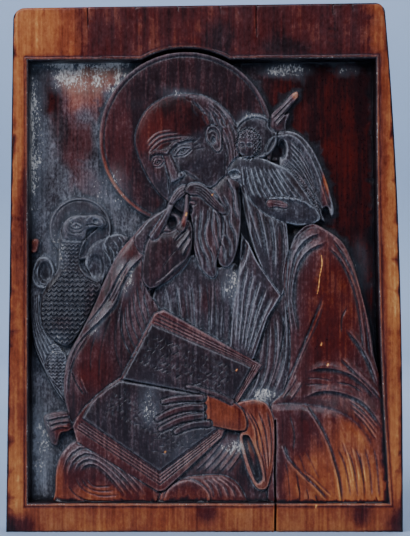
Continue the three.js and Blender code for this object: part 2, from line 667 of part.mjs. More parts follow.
// The opening's wall leans out a little, and its lip at the front is worn wider
function opening(outline) {
  return loft([
    { y: frontY - 2 * FRONT_CLEARANCE, outline: outline(LIP_FLARE) },
    { y: frontY, outline: outline(LIP_FLARE) },
    { y: frontY + LIP_DEPTH, outline: outline(0) },
    { y: floorY + FRONT_CLEARANCE, outline: outline(-WALL_DRAFT) },
  ]);
}

// The wood in front of the relief, closed by a flat face ahead of the board
function woodInFront() {
  const triangles = triangulate();
  const numbers = new Map();
  for (const corner of triangles.flatMap(({ corners }) => corners)) {
    if (!numbers.has(`${corner}`)) {
      numbers.set(`${corner}`, { corner, number: numbers.size });
    }
  }
  const count = numbers.size;
  const number = (corner) => numbers.get(`${corner}`).number;
  const carved = [...numbers.values()].map(({ corner: [column, row] }) =>
    place(gridLeft + column * GRID_STEP, gridFoot + row * GRID_STEP, heights[row * columns + column]));
  const ahead = carved.map(([x, , z]) => [x, frontY - FRONT_CLEARANCE, z]);
  const faces = triangles.flatMap(({ corners }) => {
    const [a, b, c] = corners.map(number);
    return [[c, b, a], [a + count, b + count, c + count]];
  });
  const walls = outerEdges(triangles).flatMap((edge) => {
    const [start, end] = edge.map(number);
    return [[start, end, end + count], [start, end + count, start + count]];
  });
  return toSolid([...carved, ...ahead], [...faces, ...walls]);
}

function crack() {
  const half = CRACK_WIDTH / 2;
  const foot = -FRONT_CLEARANCE;
  const wedge = (depth, width) => ({
    y: frontY + depth,
    outline: [[CRACK_ACROSS - width, foot], [CRACK_ACROSS + width, foot], [CRACK_ACROSS, CRACK_LENGTH]],
  });
  return loft([wedge(-FRONT_CLEARANCE, half), wedge(0, half), wedge(CRACK_DEPTH, half / 4)]);
}

function carveBoard() {
  for (const carving of [halos, eagle, knees, robe, mantle, nearArm, head, beard, angel, book, hands]) {
    carving();
  }
  heights.forEach((height, cell) => {
    heights[cell] = clamp(height, 0, HIGHEST);
  });
  const openings = opening(fieldOutline).add(opening(haloOutline));
  return plank().subtract(woodInFront().intersect(openings)).subtract(crack());
}

function toGeometry(solid) {
  const { vertProperties, triVerts } = solid.getMesh();
  const geometry = new THREE.BufferGeometry();
  geometry.setAttribute('position', new THREE.BufferAttribute(new Float32Array(vertProperties), 3));
  geometry.setIndex(new THREE.BufferAttribute(new Uint32Array(triVerts), 1));
  geometry.computeVertexNormals();
  return geometry;
}

const stainedWood = new THREE.MeshStandardMaterial({
  color: 0x5a2618, roughness: 0.55, metalness: 0, flatShading: true,
});

const board = new THREE.Mesh(toGeometry(carveBoard()), stainedWood);
board.name = 'carved_board';

const icon = new THREE.Group();
icon.add(board);

export default icon;
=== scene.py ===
import math

import bpy
import numpy as np
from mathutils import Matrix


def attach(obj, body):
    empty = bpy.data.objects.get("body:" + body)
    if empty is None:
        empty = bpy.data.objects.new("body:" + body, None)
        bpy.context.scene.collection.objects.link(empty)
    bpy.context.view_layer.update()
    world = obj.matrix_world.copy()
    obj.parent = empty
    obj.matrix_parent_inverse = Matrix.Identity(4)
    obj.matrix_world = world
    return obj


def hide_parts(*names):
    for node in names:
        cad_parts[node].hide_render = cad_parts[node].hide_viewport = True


# A carved icon board: one plank of softwood, its front sunk to a field in which the relief stands.
# The CAD solid carries the outlines and the main forms. Here the same carving is worked out on a
# finer grid, with its hair, feathers, scales and small folds, and dressed as old stained wood.

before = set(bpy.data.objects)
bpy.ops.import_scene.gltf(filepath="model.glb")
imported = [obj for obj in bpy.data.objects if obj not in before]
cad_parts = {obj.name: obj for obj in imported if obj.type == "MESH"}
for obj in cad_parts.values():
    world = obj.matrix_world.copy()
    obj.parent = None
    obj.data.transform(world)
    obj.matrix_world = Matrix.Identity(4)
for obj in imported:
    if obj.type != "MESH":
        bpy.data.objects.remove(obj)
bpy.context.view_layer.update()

# The grid of heights

# Lengths are millimetres. X runs right and Z up from the middle of the board's foot, as in the frame.
BOARD_WIDTH = 300
BOARD_HEIGHT = 400
BOARD_THICKNESS = 38
FIELD_DEPTH = 14
STEP = 0.5
MARGIN = 4
HIGHEST = 13.7
SOFT_WALL = 0.6
TRENCH_WIDTH = 1.6
TRENCH_DEPTH = 0.35
SPAN_STEPS = 5
FAN_POINTS = 14

ACROSS = np.arange(-BOARD_WIDTH / 2 - MARGIN, BOARD_WIDTH / 2 + MARGIN + STEP, STEP)
UP = np.arange(-MARGIN, BOARD_HEIGHT + MARGIN + STEP, STEP)
GRID_X, GRID_Z = np.meshgrid(ACROSS, UP)

# relief is the height above the field's floor. wear goes from black-red stain at 0 to bare wood at 1,
# and grime says how much grey dirt lies in the hollows.
relief = np.zeros(GRID_X.shape)
wear = np.full(GRID_X.shape, 0.2)
grime = np.full(GRID_X.shape, 0.5)


def ease(low, high, value):
    """Smooth step: 0 below low, 1 above high, and 3t^2 - 2t^3 between them."""
    share = np.clip((value - low) / (high - low), 0, 1)
    return share * share * (3 - 2 * share)


def mix(first, second, share):
    return first + (second - first) * share


def window(run, reach):
    """The slice of the grid within reach of a run of points, and the X and Z of its cells."""
    low = np.floor((run.min(axis=0) - reach - (ACROSS[0], UP[0])) / STEP).astype(int)
    high = np.ceil((run.max(axis=0) + reach - (ACROSS[0], UP[0])) / STEP).astype(int) + 1
    low = np.maximum(low, 0)
    part = (slice(low[1], max(high[1], 0)), slice(low[0], max(high[0], 0)))
    return part, GRID_X[part], GRID_Z[part]


def as_points(numbers):
    """X and Z in turn, written as one run of numbers, as an array of points."""
    return np.asarray(numbers, float).reshape(-1, 2)


def smooth(points, closed=False):
    """Centripetal Catmull-Rom curve: each span blends the lines through the four points around it."""
    points = as_points(points)
    if closed:
        framed = np.vstack([points[-1:], points, points[:2]])
    else:
        framed = np.vstack([2 * points[0] - points[1], points, 2 * points[-1] - points[-2]])
    a, b, c, d = (framed[first:len(framed) - 3 + first, None] for first in range(4))
    knots = [np.zeros((len(a), 1, 1))]
    for start, end in ((a, b), (b, c), (c, d)):
        gap = np.sqrt(np.linalg.norm(end - start, axis=2, keepdims=True))
        knots.append(knots[-1] + np.maximum(gap, 1e-6))
    at = knots[1] + (knots[2] - knots[1]) * (np.arange(SPAN_STEPS) / SPAN_STEPS)[None, :, None]

    def between(first, second, start, end):
        return ((knots[end] - at) * first + (at - knots[start]) * second) / (knots[end] - knots[start])

    near = between(between(a, b, 0, 1), between(b, c, 1, 2), 0, 2)
    far = between(between(b, c, 1, 2), between(c, d, 2, 3), 1, 3)
    run = between(near, far, 1, 2).reshape(-1, 2)
    return run if closed else np.vstack([run, points[-1]])


def ring(*numbers):
    """A closed smooth outline through the points that the numbers give."""
    return smooth(numbers, True)


def circle(centre, across, up=None, steps=72):
    angle = np.arange(steps) / steps * 2 * np.pi
    return np.stack([centre[0] + across * np.cos(angle), centre[1] + (up or across) * np.sin(angle)], 1)


def reach_along(run, x, z):
    """For each cell: its distance to an open run, the share of the run at the nearest point, and its
    side, positive on the left of the run's direction."""
    nearest = np.full(x.shape, np.inf)
    share = np.zeros(x.shape)
    side = np.zeros(x.shape)
    for index, (start, end) in enumerate(zip(run[:-1], run[1:])):
        edge = end - start
        away_x, away_z = x - start[0], z - start[1]
        along = np.clip((away_x * edge[0] + away_z * edge[1]) / max(edge @ edge, 1e-9), 0, 1)
        distance = np.hypot(away_x - along * edge[0], away_z - along * edge[1])
        closer = distance < nearest
        nearest = np.where(closer, distance, nearest)
        share = np.where(closer, (index + along) / (len(run) - 1), share)
        side = np.where(closer, edge[0] * away_z - edge[1] * away_x, side)
    return nearest, share, np.sign(side)


def depth_inside(outline, x, z):
    """Distance inside a closed outline, negative outside it. A cell is inside where a line to its
    right crosses the outline an odd number of times."""
    around = np.vstack([outline, outline[:1]])
    distance = reach_along(around, x, z)[0]
    inside = np.zeros(x.shape, bool)
    for start, end in zip(around[:-1], around[1:]):
        if start[1] != end[1]:
            crossing = start[0] + (z - start[1]) * (end[0] - start[0]) / (end[1] - start[1])
            inside ^= ((start[1] > z) != (end[1] > z)) & (x < crossing)
    return np.where(inside, distance, -distance)


def tent(value, half):
    """1 where the value is 0, falling evenly to 0 at half on either side."""
    return np.clip(1 - np.abs(value) / half, 0, 1)


def rub(worn, dirty, share, part=slice(None)):
    """Moves the wear and the dirt toward these values by each cell's share. None leaves one alone."""
    for layer, value in ((wear, worn), (grime, dirty)):
        if value is not None:
            layer[part] = mix(layer[part], value, share)


def set_in(part, inward, level, worn, dirty, trench=1.0):
    """Puts a form's height, wear and dirt on the grid where inward, the distance inside its outline,
    is positive, and cuts the ground back a little round it."""
    cut = TRENCH_DEPTH * trench * np.clip(1 + inward / TRENCH_WIDTH, 0, 1) ** 2
    cover = ease(-SOFT_WALL, SOFT_WALL, inward)
    relief[part] = mix(np.maximum(relief[part] - cut, 0), level, cover)
    rub(worn, dirty, cover, part)


def lay(outline, edge, crown, over, rise=0.0, side_rise=0.0, worn=None, dirty=None, trench=1.0,
        rim=0.0):
    """A form whose edge stands at one height and which swells inward: edge + crown times a quarter
    circle over the first `over` millimetres, tilted by rise and side_rise. A raised rim may follow
    its edge."""
    outline = as_points(outline)
    part, x, z = window(outline, TRENCH_WIDTH)
    inward = depth_inside(outline, x, z)
    swell = np.sqrt(1 - (1 - np.clip(inward / over, 0, 1)) ** 2)
    middle = outline.mean(axis=0)
    level = edge + crown * swell + rise * (z - middle[1]) + side_rise * (x - middle[0])
    level += rim * tent(inward - 0.8, 0.9)
    set_in(part, inward, level, worn, dirty, trench)


def faded(share, fade):
    """1 along a run, easing to 0 over that share of it at both ends."""
    return ease(-0.03, fade, share) * ease(-0.03, fade, 1 - share) if fade else 1


def groove(run, width, depth, fade=0.2, sharp=1.7):
    """A cut of V section along a run: depth (1 - distance / half width)^sharp, fading at both ends.
    Negative depth raises a ridge."""
    run = as_points(run)
    part, x, z = window(run, width / 2)
    distance, share, _ = reach_along(run, x, z)
    relief[part] -= depth * tent(distance, width / 2) ** sharp * faded(share, fade)


def fold(run, width, height, fade=0.25):
    """An overlap of cloth: on the left of the run it rises slowly to a crest, and on the right it
    drops within a millimetre into a soft gutter."""
    run = as_points(run)
    part, x, z = window(run, width)
    distance, share, side = reach_along(run, x, z)
    slope = tent(distance, width) ** 1.4
    drop = tent(distance, 1.1) - 0.4 * tent(distance / width - 0.4, 0.4)
    relief[part] += height * np.where(side > 0, slope, drop) * faded(share, fade)


def limb(run, start, end, crest, bulge, worn, dirty):
    """A half-round limb, such as a finger, whose radius goes evenly from start to end."""
    run = as_points(run)
    part, x, z = window(run, max(start, end) + TRENCH_WIDTH)
    distance, share, _ = reach_along(run, x, z)
    radius = mix(start, end, share)
    level = crest - bulge * (1 - np.sqrt(1 - np.clip(distance / radius, 0, 1) ** 2))
    set_in(part, radius - distance, level, worn, dirty)


def resample(run, count):
    """The run with its points set evenly by share of its length."""
    along = np.concatenate([[0], np.cumsum(np.linalg.norm(np.diff(run, axis=0), axis=1))])
    at = np.linspace(0, along[-1], count)
    return np.stack([np.interp(at, along, run[:, axis]) for axis in (0, 1)], 1)


def fan(first, last, count, width, depth, cut=groove, fade=0.2):
    """Cuts side by side: the first and last are given, and the others lie evenly between them."""
    start = resample(smooth(first), FAN_POINTS)
    end = resample(smooth(last), FAN_POINTS)
    for share in np.linspace(0, 1, count):
        cut(mix(start, end, share), width, depth, fade)


def oval_reach(centre, across, up, x=GRID_X, z=GRID_Z):
    """Each cell's distance from an oval's middle, as a share of the oval's radius."""
    return np.hypot((x - centre[0]) / across, (z - centre[1]) / up)


def pit(centre, across, up, depth):
    """A drilled hollow: depth times a smooth step of the distance from its rim."""
    outline = circle(centre, across, up, 24)
    part, x, z = window(outline, 1)
    relief[part] -= depth * ease(1.15, 0.6, oval_reach(centre, across, up, x, z))


def stain(centre, across, up, worn, strength):
    """Moves the wear toward a value in a soft oval, fullest within a third of its radii."""
    rub(worn, None, strength * ease(1.0, 0.35, oval_reach(centre, across, up)))


# The halos

HALO_CENTRE = (-14, 297.5)
HALO_RADIUS = 66
HALO_LEVEL = 7.5
HALO_RISE = 0.05
# Each cell's distance from the large halo's middle
HALO_AWAY = np.hypot(GRID_X - HALO_CENTRE[0], GRID_Z - HALO_CENTRE[1])


def disc(centre, radius, level, rise, rim, rim_height, worn, dirty):
    """A flat disc that may lean back, with a rounded rim and a fine groove inside the rim."""
    outline = circle(centre, radius)
    part, x, z = window(outline, TRENCH_WIDTH)
    inward = radius - np.hypot(x - centre[0], z - centre[1])
    band = np.clip(inward / rim, 0, 1)
    raised = rim_height * np.sin(np.pi * band)
    inner = 0.7 * rim_height * tent(inward - rim - 0.4, 0.9)
    set_in(part, inward, level + rise * (z - centre[1]) + raised - inner, worn, dirty)


def carve_halos():
    disc((-94.5, 229.5), 23.5, 3.0, 0, 2.0, 0.6, 0.12, 0.45)
    disc(HALO_CENTRE, HALO_RADIUS, HALO_LEVEL, HALO_RISE, 3.5, 0.7, 0.22, 0.32)
    stain((-68, 292), 18, 56, 0.36, 0.8)
    disc((38.5, 299), 17, 9.0, 0, 2.5, 0.7, 0.12, 0.6)


# The eagle

def zigzags(outline, across, up, rise, depth):
    """Rows of cut zigzag lines, as plumage: a thin ridge wherever the height, less a triangle wave
    across, comes to a whole number of rows."""
    outline = as_points(outline)
    part, x, z = window(outline, 0)
    cover = ease(0.3, 2.0, depth_inside(outline, x, z))
    bend = np.abs((x / across) % 1 - 0.5) * 2
    row = ((z - rise * bend) / up) % 1
    ridge = tent(row - 0.5, 0.34) ** 1.3
    relief[part] += depth * (ridge - 0.45) * cover


def carve_eagle():
    left_wing = ring(-129.5, 201.5, -126, 207.5, -120, 208, -115, 202, -113.5, 190.5, -119.5, 178.5,
        -122.5, 160.5, -113.5, 143.5, -107.5, 136, -105, 97, -113, 106, -122, 123, -129, 140, -132, 157,
        -132.7, 183)
    lay(left_wing, 3, 2, 7, worn=0.1, dirty=0.85)
    fan((-132.5, 190, -133, 172.5, -132, 157, -129.5, 140, -122, 121), (-125, 186, -126, 172.5,
        -124.5, 158, -119, 146, -110, 132), 6, 2.4, 1.3, fold)
    fan((-126, 132, -118, 118, -108, 103), (-120, 138, -113, 120, -105, 96), 3, 2.2, 1.0, fold)
    fold(smooth((-112, 199, -114, 189, -120, 184.5, -127.5, 187, -130.5, 194, -128, 203)), 3.2, 1.6, 0.1)
    pit((-121, 196), 5.5, 8.5, 2.6)
    limb((-130, 214, -128.5, 219), 3.2, 3.0, 5.5, 1.5, worn=0.42, dirty=0.2)
    right_wing = ring(-91, 204, -85, 217.5, -76, 222, -66, 225.5, -58, 222, -64, 209.5, -76, 191,
        -83.5, 171.5, -88, 163.5, -82, 178.5, -86.5, 193.5)
    lay(right_wing, 2.5, 2, 8, worn=0.08, dirty=0.85)
    pit((-82.5, 200), 6.5, 10, 2.4)
    fan((-77, 214, -72, 206, -71, 198), (-66, 224, -62, 218, -66, 208), 4, 2.2, 1.0, fold)
    fold(smooth((-59, 220, -64.5, 225.3, -72, 224, -76, 218, -73, 210)), 2.6, 1.0, 0.1)
    body = ring(-110, 226.5, -111, 211.5, -112, 198, -119.5, 187.5, -124.5, 176, -125, 162, -121, 151,
        -112.5, 143, -105, 140, -98, 146, -90, 159.5, -82, 176, -78, 185.5, -88, 194, -94.5, 201,
        -94, 211, -89.5, 222, -98, 234, -106, 234.5)
    lay(body, 3.5, 6, 16, worn=0.1, dirty=0.5)
    breast = ring(-113.5, 189, -122, 179, -124.5, 165, -120.5, 151, -112, 143.5, -104.5, 141, -98, 147,
        -90, 160, -82, 176, -79.5, 185, -88, 193, -96, 197.5, -108, 197)
    zigzags(breast, 4.0, 3.6, 1.7, 1.5)
    neck = (-109.5, 221, -110.5, 197, -95.5, 197, -94.5, 211, -92.5, 219)
    zigzags(neck, 3.2, 2.9, 1.3, 1.0)
    fold(smooth((-75, 235.5, -82, 228.5, -90, 221, -94, 211.5, -94, 200.5, -90, 194, -78.5, 187.5)), 2.8,
        1.3, 0.08)
    thigh = ring(-121, 124.5, -118.5, 133.5, -112, 137, -105.5, 134.5, -104.3, 126, -105, 112,
        -104.5, 97, -109, 106, -116.5, 115)
    lay(thigh, 3.8, 2.4, 7, worn=0.12, dirty=0.7, rim=0.4)
    zigzags(thigh, 2.8, 2.6, 1.2, 1.0)
    fan((-121, 139, -112, 142.5, -102, 137), (-119, 134.5, -112, 139, -104.5, 135), 2, 2, 0.9)
    head = ring(-107.3, 222, -107, 233, -102, 238, -96, 239.7, -89.5, 239.3, -83, 240.2, -77, 237.8,
        -74.6, 233, -77.5, 229.8, -82, 230.5, -88.5, 228.5, -91.5, 221, -100.5, 219.5)
    lay(head, 5.8, 3, 7, worn=0.16, dirty=0.6)
    fold(smooth((-76, 231, -79, 237, -86, 238.5, -90, 235)), 3.2, 1.4, 0.1)
    groove(smooth((-91, 231.5, -85, 232.5, -79.5, 231)), 1.8, 1.4)
    pit((-82.5, 235), 2.2, 1.8, 1.8)
    fold(smooth((-87.5, 237, -92.5, 239, -99, 237.3, -104, 233.5)), 2.6, 1.0)
    lay(circle((-97, 231.3), 4.4, 2.6, 24), 8.0, 1.1, 2.5, trench=2.5, rim=0.5)
    pit((-97, 231.3), 1.3, 1.3, 1.1)
    groove(smooth((-104, 230, -101, 226.5, -95, 226, -91, 228.5)), 1.8, 1.0)
    fan((-106, 229, -103, 225, -97, 223), (-105, 225, -101, 221.5, -95, 220), 3, 1.6, 0.7)


# The seat's drape, the lap and the knees

def carve_knees():
    drape = ring(-122, 86.5, -115, 90, -101.5, 89.5, -97, 82, -103, 75.5, -109, 74, -112, 64.5,
        -116, 66, -119.5, 75.5)
    lay(drape, 5, 2, 6, worn=0.24, dirty=0.3, rim=0.3)
    fan((-120.5, 84, -110.5, 86.5, -101, 88), (-117, 76, -110.5, 79, -102, 79), 3, 2.4, 1.3, fold)
    groove((-114.5, 75, -113.5, 67), 2, 1)
    lap = (-41, 14, -41, 47, -26, 69.5, 8.5, 77, 30, 81, 44, 47, 60, 14)
    lay(lap, 6, 1.5, 12, worn=0.3, dirty=0.6)
    fan((-8, 45, 1.5, 54, 10, 64, 14, 70), (16, 44, 21, 50, 26, 57, 28, 62), 5, 4.4, 1.0, fold)
    groove(smooth((-38, 36, -22, 52, -2, 70, 9, 78)), 3.4, 1.4)
    far_knee = ring(-114, 14, -113.5, 30.5, -112, 50, -106, 62, -95.5, 69, -82.5, 65, -60, 51,
        -36.5, 33.5, -28, 14)
    lay(far_knee, 6, 4.6, 14, worn=0.34, dirty=0.6)
    fan((-109, 40, -104, 56, -93, 64.5, -78, 60, -60, 46, -42, 26), (-96, 44, -90, 51, -82, 51, -73, 44,
        -65, 35, -58, 26), 4, 5.4, 1.5, fold)
    fan((-99, 43, -92, 32, -79, 27, -62, 28), (-90, 41, -85, 35, -77, 34, -69, 35), 3, 3.2, 0.8)
    fan((-100, 30, -90, 24, -70, 23), (-104, 36, -96, 26, -84, 22), 2, 2.2, 0.8)
    near_knee = ring(-37, 14, -36, 23, -32, 30, -26, 35, -18.5, 39.5, -10, 41.7, 1.5, 42.7, 13, 42.7,
        20.5, 40, 27, 34, 32, 24, 36, 14)
    lay(near_knee, 7.0, 3.2, 12, worn=0.42, dirty=0.5)
    fold(smooth((4, 20, 3, 28, -3, 35, -11.5, 38.5, -20, 36.5, -27.5, 31, -31, 22)), 3.2, 1.2, 0.1)
    fan((6, 24, 4, 33, -2, 40), (30, 24, 24, 34, 13, 41.5), 5, 3.6, 0.9, fold)


# The robe: the raised sleeve at the left and the folds over the chest

def carve_robe():
    chest = ring(-21.5, 203, -3.5, 210, 8, 200, 24, 203, 28, 186.5, 25.5, 152.5, 21, 128, -3.5, 138,
        -33.5, 158, -39.5, 178)
    lay(chest, 5.6, 1.4, 20, side_rise=0.03, worn=0.18, dirty=0.75)
    fan((-38, 178, -36, 170, -34, 160), (18, 196, 20, 168, 19, 138), 11, 3.4, 0.8)
    fan((-30, 186, -27, 174, -24, 160), (16, 192, 14, 170, 12, 146), 6, 3.4, 0.7, fold)
    sleeve = ring(-42.5, 237, -53.5, 225, -66, 210, -76, 190, -83.5, 172, -94, 151, -104, 131.5,
        -107, 111, -104.5, 92.5, -98, 80, -79, 96, -58, 114, -41, 152, -34, 166, -41, 182, -27.5, 189.5,
        -12.5, 204, -9.5, 223, -14, 234.5, -24.5, 242, -34, 242)
    lay(sleeve, 6, 4.4, 13, worn=0.27, dirty=0.45)
    # The long ridge from the wrist to the elbow, and the folds that leave it on either side
    fold(smooth((-104.5, 120, -99, 138, -91, 149, -79, 160.5, -68, 173, -63, 187.5, -57, 198.5,
        -46.5, 209.5)), 5, 1.7, 0.08)
    fold(smooth((-104.5, 100, -103.5, 118, -97, 136, -86, 152)), 3.6, 1.2)
    fold(smooth((-96, 151, -84, 164, -74, 178, -66, 194, -56, 208)), 3.4, 1.2)
    fan((-74, 174, -66, 190, -57, 206), (-70, 172, -64, 184, -58, 195), 3, 2.2, 1.0)
    fold(smooth((-66.5, 168, -60, 184, -62, 176, -64, 166, -66, 152)), 2.6, 0.9)
    fan((-62, 168, -63, 154, -60, 142, -54, 131), (-46, 196, -42.5, 182, -40, 174, -38.5, 164), 7, 3.6,
        1.3)
    fold(smooth((-38.5, 164, -40.5, 176, -43.5, 183, -46, 192)), 2.6, 1.2)
    fold(smooth((-46.5, 166, -46.5, 183.5, -47, 195, -46.5, 207)), 2.4, 1.0)
    fan((-68, 168, -75, 152, -79, 134, -80, 112), (-66, 160, -68, 146, -66, 132, -62, 120), 2, 3.4, 0.6)
    groove(smooth((-101, 122, -97, 112, -91, 103)), 2.6, 1.3)
    fold(smooth((-94, 118, -91, 110, -88, 103)), 2.4, 0.8)
    groove(smooth((-82, 150, -86, 136, -86, 120)), 2.2, 0.7)
    fold(smooth((-14, 203, -24, 197, -31, 190, -42, 181)), 3.5, 1.0)


# The mantle: the collar, its turned-back edge and the folds at the side

def carve_mantle():
    side = ring(57, 190, 64.5, 178, 72, 145, 66, 100, 43.5, 92.5, 24, 95, 40.5, 124, 37, 132, 48, 164)
    lay(side, 6.6, 1.6, 10, worn=0.24, dirty=0.7)
    fan((62.5, 178, 68.5, 156.5, 67, 130, 58, 102), (46, 152, 43, 134, 40, 114, 30, 96), 5, 5.0, 1.4,
        fold)
    groove(smooth((60, 172, 60, 150, 56, 128, 48, 104)), 3.2, 1.5)
    collar = ring(25.5, 267.5, 43.5, 266, 59.5, 244, 64, 217, 63, 195, 58, 178, 48, 190, 39.5, 208,
        33, 229, 28.5, 249)
    lay(collar, 8, 2.2, 9, worn=0.18, dirty=0.8, rim=0.5)
    fan((28, 261.5, 31.5, 251.5, 36.5, 236, 44, 212), (57, 246, 60.5, 227, 61.5, 210, 59, 190), 4, 4.6,
        1.3, fold)
    fan((34.5, 260.5, 42.5, 247, 46.5, 232.5, 51, 207.5), (46, 262, 52, 246, 55, 228, 56, 204), 2, 2.6,
        0.6)
    lapel = (28, 226, 33.5, 219, 39.5, 206, 46, 195.5, 58, 178.5, 48, 162, 37.5, 131, 30, 124, 18.5, 134,
        21.5, 168, 25.5, 194.5)
    lay(lapel, 8.8, 1.8, 6, worn=0.26, dirty=0.95, rim=0.6)
    fan((29, 210, 26, 188, 24.5, 164, 23.5, 140), (53, 179, 45, 162, 39, 146, 34, 131), 6, 3.8, 1.3, fold)
    fan((31, 206, 31, 188, 29, 168), (45, 182, 40, 170, 35, 156), 2, 1.8, 0.5)
    fold((37, 131, 42.5, 148, 48, 163, 57.5, 178), 2.4, 1.0, 0.1)


# The near arm under the mantle, the cuff and the folds that hang from it

def carve_near_arm():
    arm = ring(60, 190, 61.5, 204, 64.5, 214.5, 70.5, 226, 81, 233.5, 93, 228, 104, 220, 110, 210,
        114.5, 198, 119, 181.5, 125.5, 155, 129.5, 130, 136, 112, 150, 96, 150, 10, 58, 10, 49.5, 18.5,
        48, 47, 48, 77, 51, 97, 60, 106, 65, 137.5)
    lay(arm, 7.6, 4.4, 22, worn=0.36, dirty=0.45)
    # Three bands over the shoulder that run on down the inner side of the arm
    fan((63, 150, 61, 176, 61.5, 200, 64, 214.5, 69, 224, 76.5, 231, 84.5, 233.5), (70, 150, 66, 176,
        69.5, 200, 76, 211, 83, 216, 91, 219), 3, 5.4, 2.0, fold, 0.1)
    groove(smooth((67, 186, 67.5, 200, 72, 211.5, 79, 219, 88, 222.5)), 1.6, 0.6)
    # The double line of the outer contour
    fan((94, 216, 102, 208.5, 108.5, 197.5, 114.5, 183, 119, 160, 122, 134), (97, 223, 105, 212, 112, 199,
        118, 183, 123, 160, 127, 131), 2, 3.8, 1.5, fold, 0.1)
    groove(smooth((90, 178.5, 82, 159, 72, 134, 64.5, 116.5, 59, 103)), 6.0, 2.2)
    fold(smooth((59, 100, 66, 116, 74, 136, 84, 158, 92, 180)), 3, 1.0)
    fan((107.5, 154, 117.5, 141.5, 125, 128.5, 131.5, 111), (103, 132.5, 113.5, 122, 125, 111,
        135.5, 98.5), 2, 4.8, 2.2, fold)
    groove(smooth((103.5, 150, 104, 162, 108, 170)), 2.6, 0.9)
    # The arcs across the forearm, with a broad hollow below them
    fan((76.5, 121, 85.5, 124, 98.5, 123.5, 111.5, 119, 123.5, 109, 132.5, 98.5), (74, 101, 85.5, 106.5,
        96.5, 107, 110, 103.5, 122, 97, 136.5, 77), 2, 6, 2.2, fold)
    fan((76, 116, 86, 116, 98, 114), (75, 111, 84, 111.5, 94, 111), 2, 2.6, 0.6)
    groove(smooth((99.5, 113, 110, 111, 120, 105)), 3, 0.9)
    groove(smooth((50, 96, 61, 97, 79.5, 96, 98.5, 92, 112, 84.5, 122, 74, 128, 62)), 11, 2.4, 0.12, 1.2)
    fan((58, 100, 64, 108, 70, 118), (64, 99, 69, 106, 74, 114), 2, 2.6, 1.0, fold)
    fan((108, 101, 120, 92, 132, 78), (112, 92, 122, 82, 131, 69), 3, 2.6, 1.1, fold)
    # The straight folds that fall from the elbow to the foot
    fold(smooth((91.5, 24, 84.5, 32, 76.5, 39.5, 67.5, 48.5, 62, 55.5, 58.5, 66)), 4.5, 1.9, 0.1)
    fold(smooth((98, 24.5, 89.5, 32, 81.5, 40, 71.5, 47)), 2.8, 0.9)
    fold(smooth((103, 22, 100.5, 39.5, 97, 52.5, 93.5, 64, 89, 74.5, 83, 85, 76.5, 95)), 4.4, 2.0, 0.08)
    fan((100, 64, 105, 54, 108.5, 41, 111, 24), (127.5, 65, 130, 54, 131.5, 39.5, 132.5, 24), 5, 4.4, 1.2)
    fan((104, 70, 109, 56, 112, 40), (118, 62, 120, 50, 122, 36), 3, 2.4, 0.9, fold)
    fan((61, 56, 63.5, 40, 65, 22), (76, 62, 82, 50, 88, 38), 4, 3.4, 0.7)
    fan((70, 38, 72, 30, 72, 22), (84, 28, 85, 24, 86, 21), 3, 2.2, 0.9)
    groove(smooth((64, 90, 68, 74, 67, 60)), 3, 0.9)
    cuff = ring(22.5, 96, 29.5, 98.8, 40, 100, 48, 96, 52.5, 85, 53.5, 68.5, 52.5, 54, 50.3, 41,
        46.5, 32, 40.5, 32, 34, 42, 29, 57.5, 26.5, 72, 30, 79, 31, 85, 28, 91)
    lay(cuff, 8.6, 3.0, 7, worn=0.54, dirty=0.4, rim=0.5)
    slit = ring(29.3, 72.5, 31, 61, 35.5, 46.5, 40.5, 36.5, 43.5, 39.5, 41, 54, 37, 65, 33, 72.5)
    lay(slit, 7.4, -0.6, 5, worn=0.06, dirty=0.5)
    groove(smooth((31.5, 71, 33.5, 60, 38, 47)), 1.6, 0.8)
    fold(smooth((46, 36, 43.5, 52, 39.5, 64, 37.5, 78, 30, 92)), 2.6, 1.5, 0.1)
    fan((33, 93, 41, 78, 45, 60, 47.5, 44), (47, 93, 50, 78, 51, 62, 50, 46), 3, 2.4, 1.3)


# The head. The face is a plain one: it is laid out by shares of the head's own height, eyes half way
# down and brow, nose and mouth at the usual shares, and turned a little about the head's axis.

HEAD_CENTRE = np.array([-14.5, 288.5])
HEAD_HEIGHT = 87
HEAD_LEAN = math.radians(24.5)
HEAD_TURN = math.radians(28)
FACE_RADIUS = HEAD_HEIGHT / 3
NOSE_REACH = 6


def leaning(across, down):
    """A step across and down the leaning head, as steps along X and Z."""
    return np.array([across * math.cos(HEAD_LEAN) + down * math.sin(HEAD_LEAN),
                     across * math.sin(HEAD_LEAN) - down * math.cos(HEAD_LEAN)])


def on_head(degrees, share):
    """The board's point at an angle round the face and a share of the head's height."""
    across = FACE_RADIUS * math.sin(math.radians(degrees) - HEAD_TURN)
    return HEAD_CENTRE + leaning(across, (share - 0.5) * HEAD_HEIGHT)


def head_angles(x, z):
    """The angle round the face and the share of the head's height at each cell of the grid."""
    away_x, away_z = x - HEAD_CENTRE[0], z - HEAD_CENTRE[1]
    across = away_x * math.cos(HEAD_LEAN) + away_z * math.sin(HEAD_LEAN)
    down = away_x * math.sin(HEAD_LEAN) - away_z * math.cos(HEAD_LEAN)
    angle = np.degrees(np.arcsin(np.clip(across / FACE_RADIUS, -0.99, 0.99)) + HEAD_TURN)
    return angle, down / HEAD_HEIGHT + 0.5


def bell(value, width):
    """A bell of height 1: exp(-(value / width)^2)."""
    return np.exp(-(value / width) ** 2)


def bump(angle, share, at_angle, at_share, wide, high):
    """A bell of height 1 on the face: exp(-(distance in widths)^2)."""
    return np.exp(-((angle - at_angle) / wide) ** 2 - ((share - at_share) / high) ** 2)


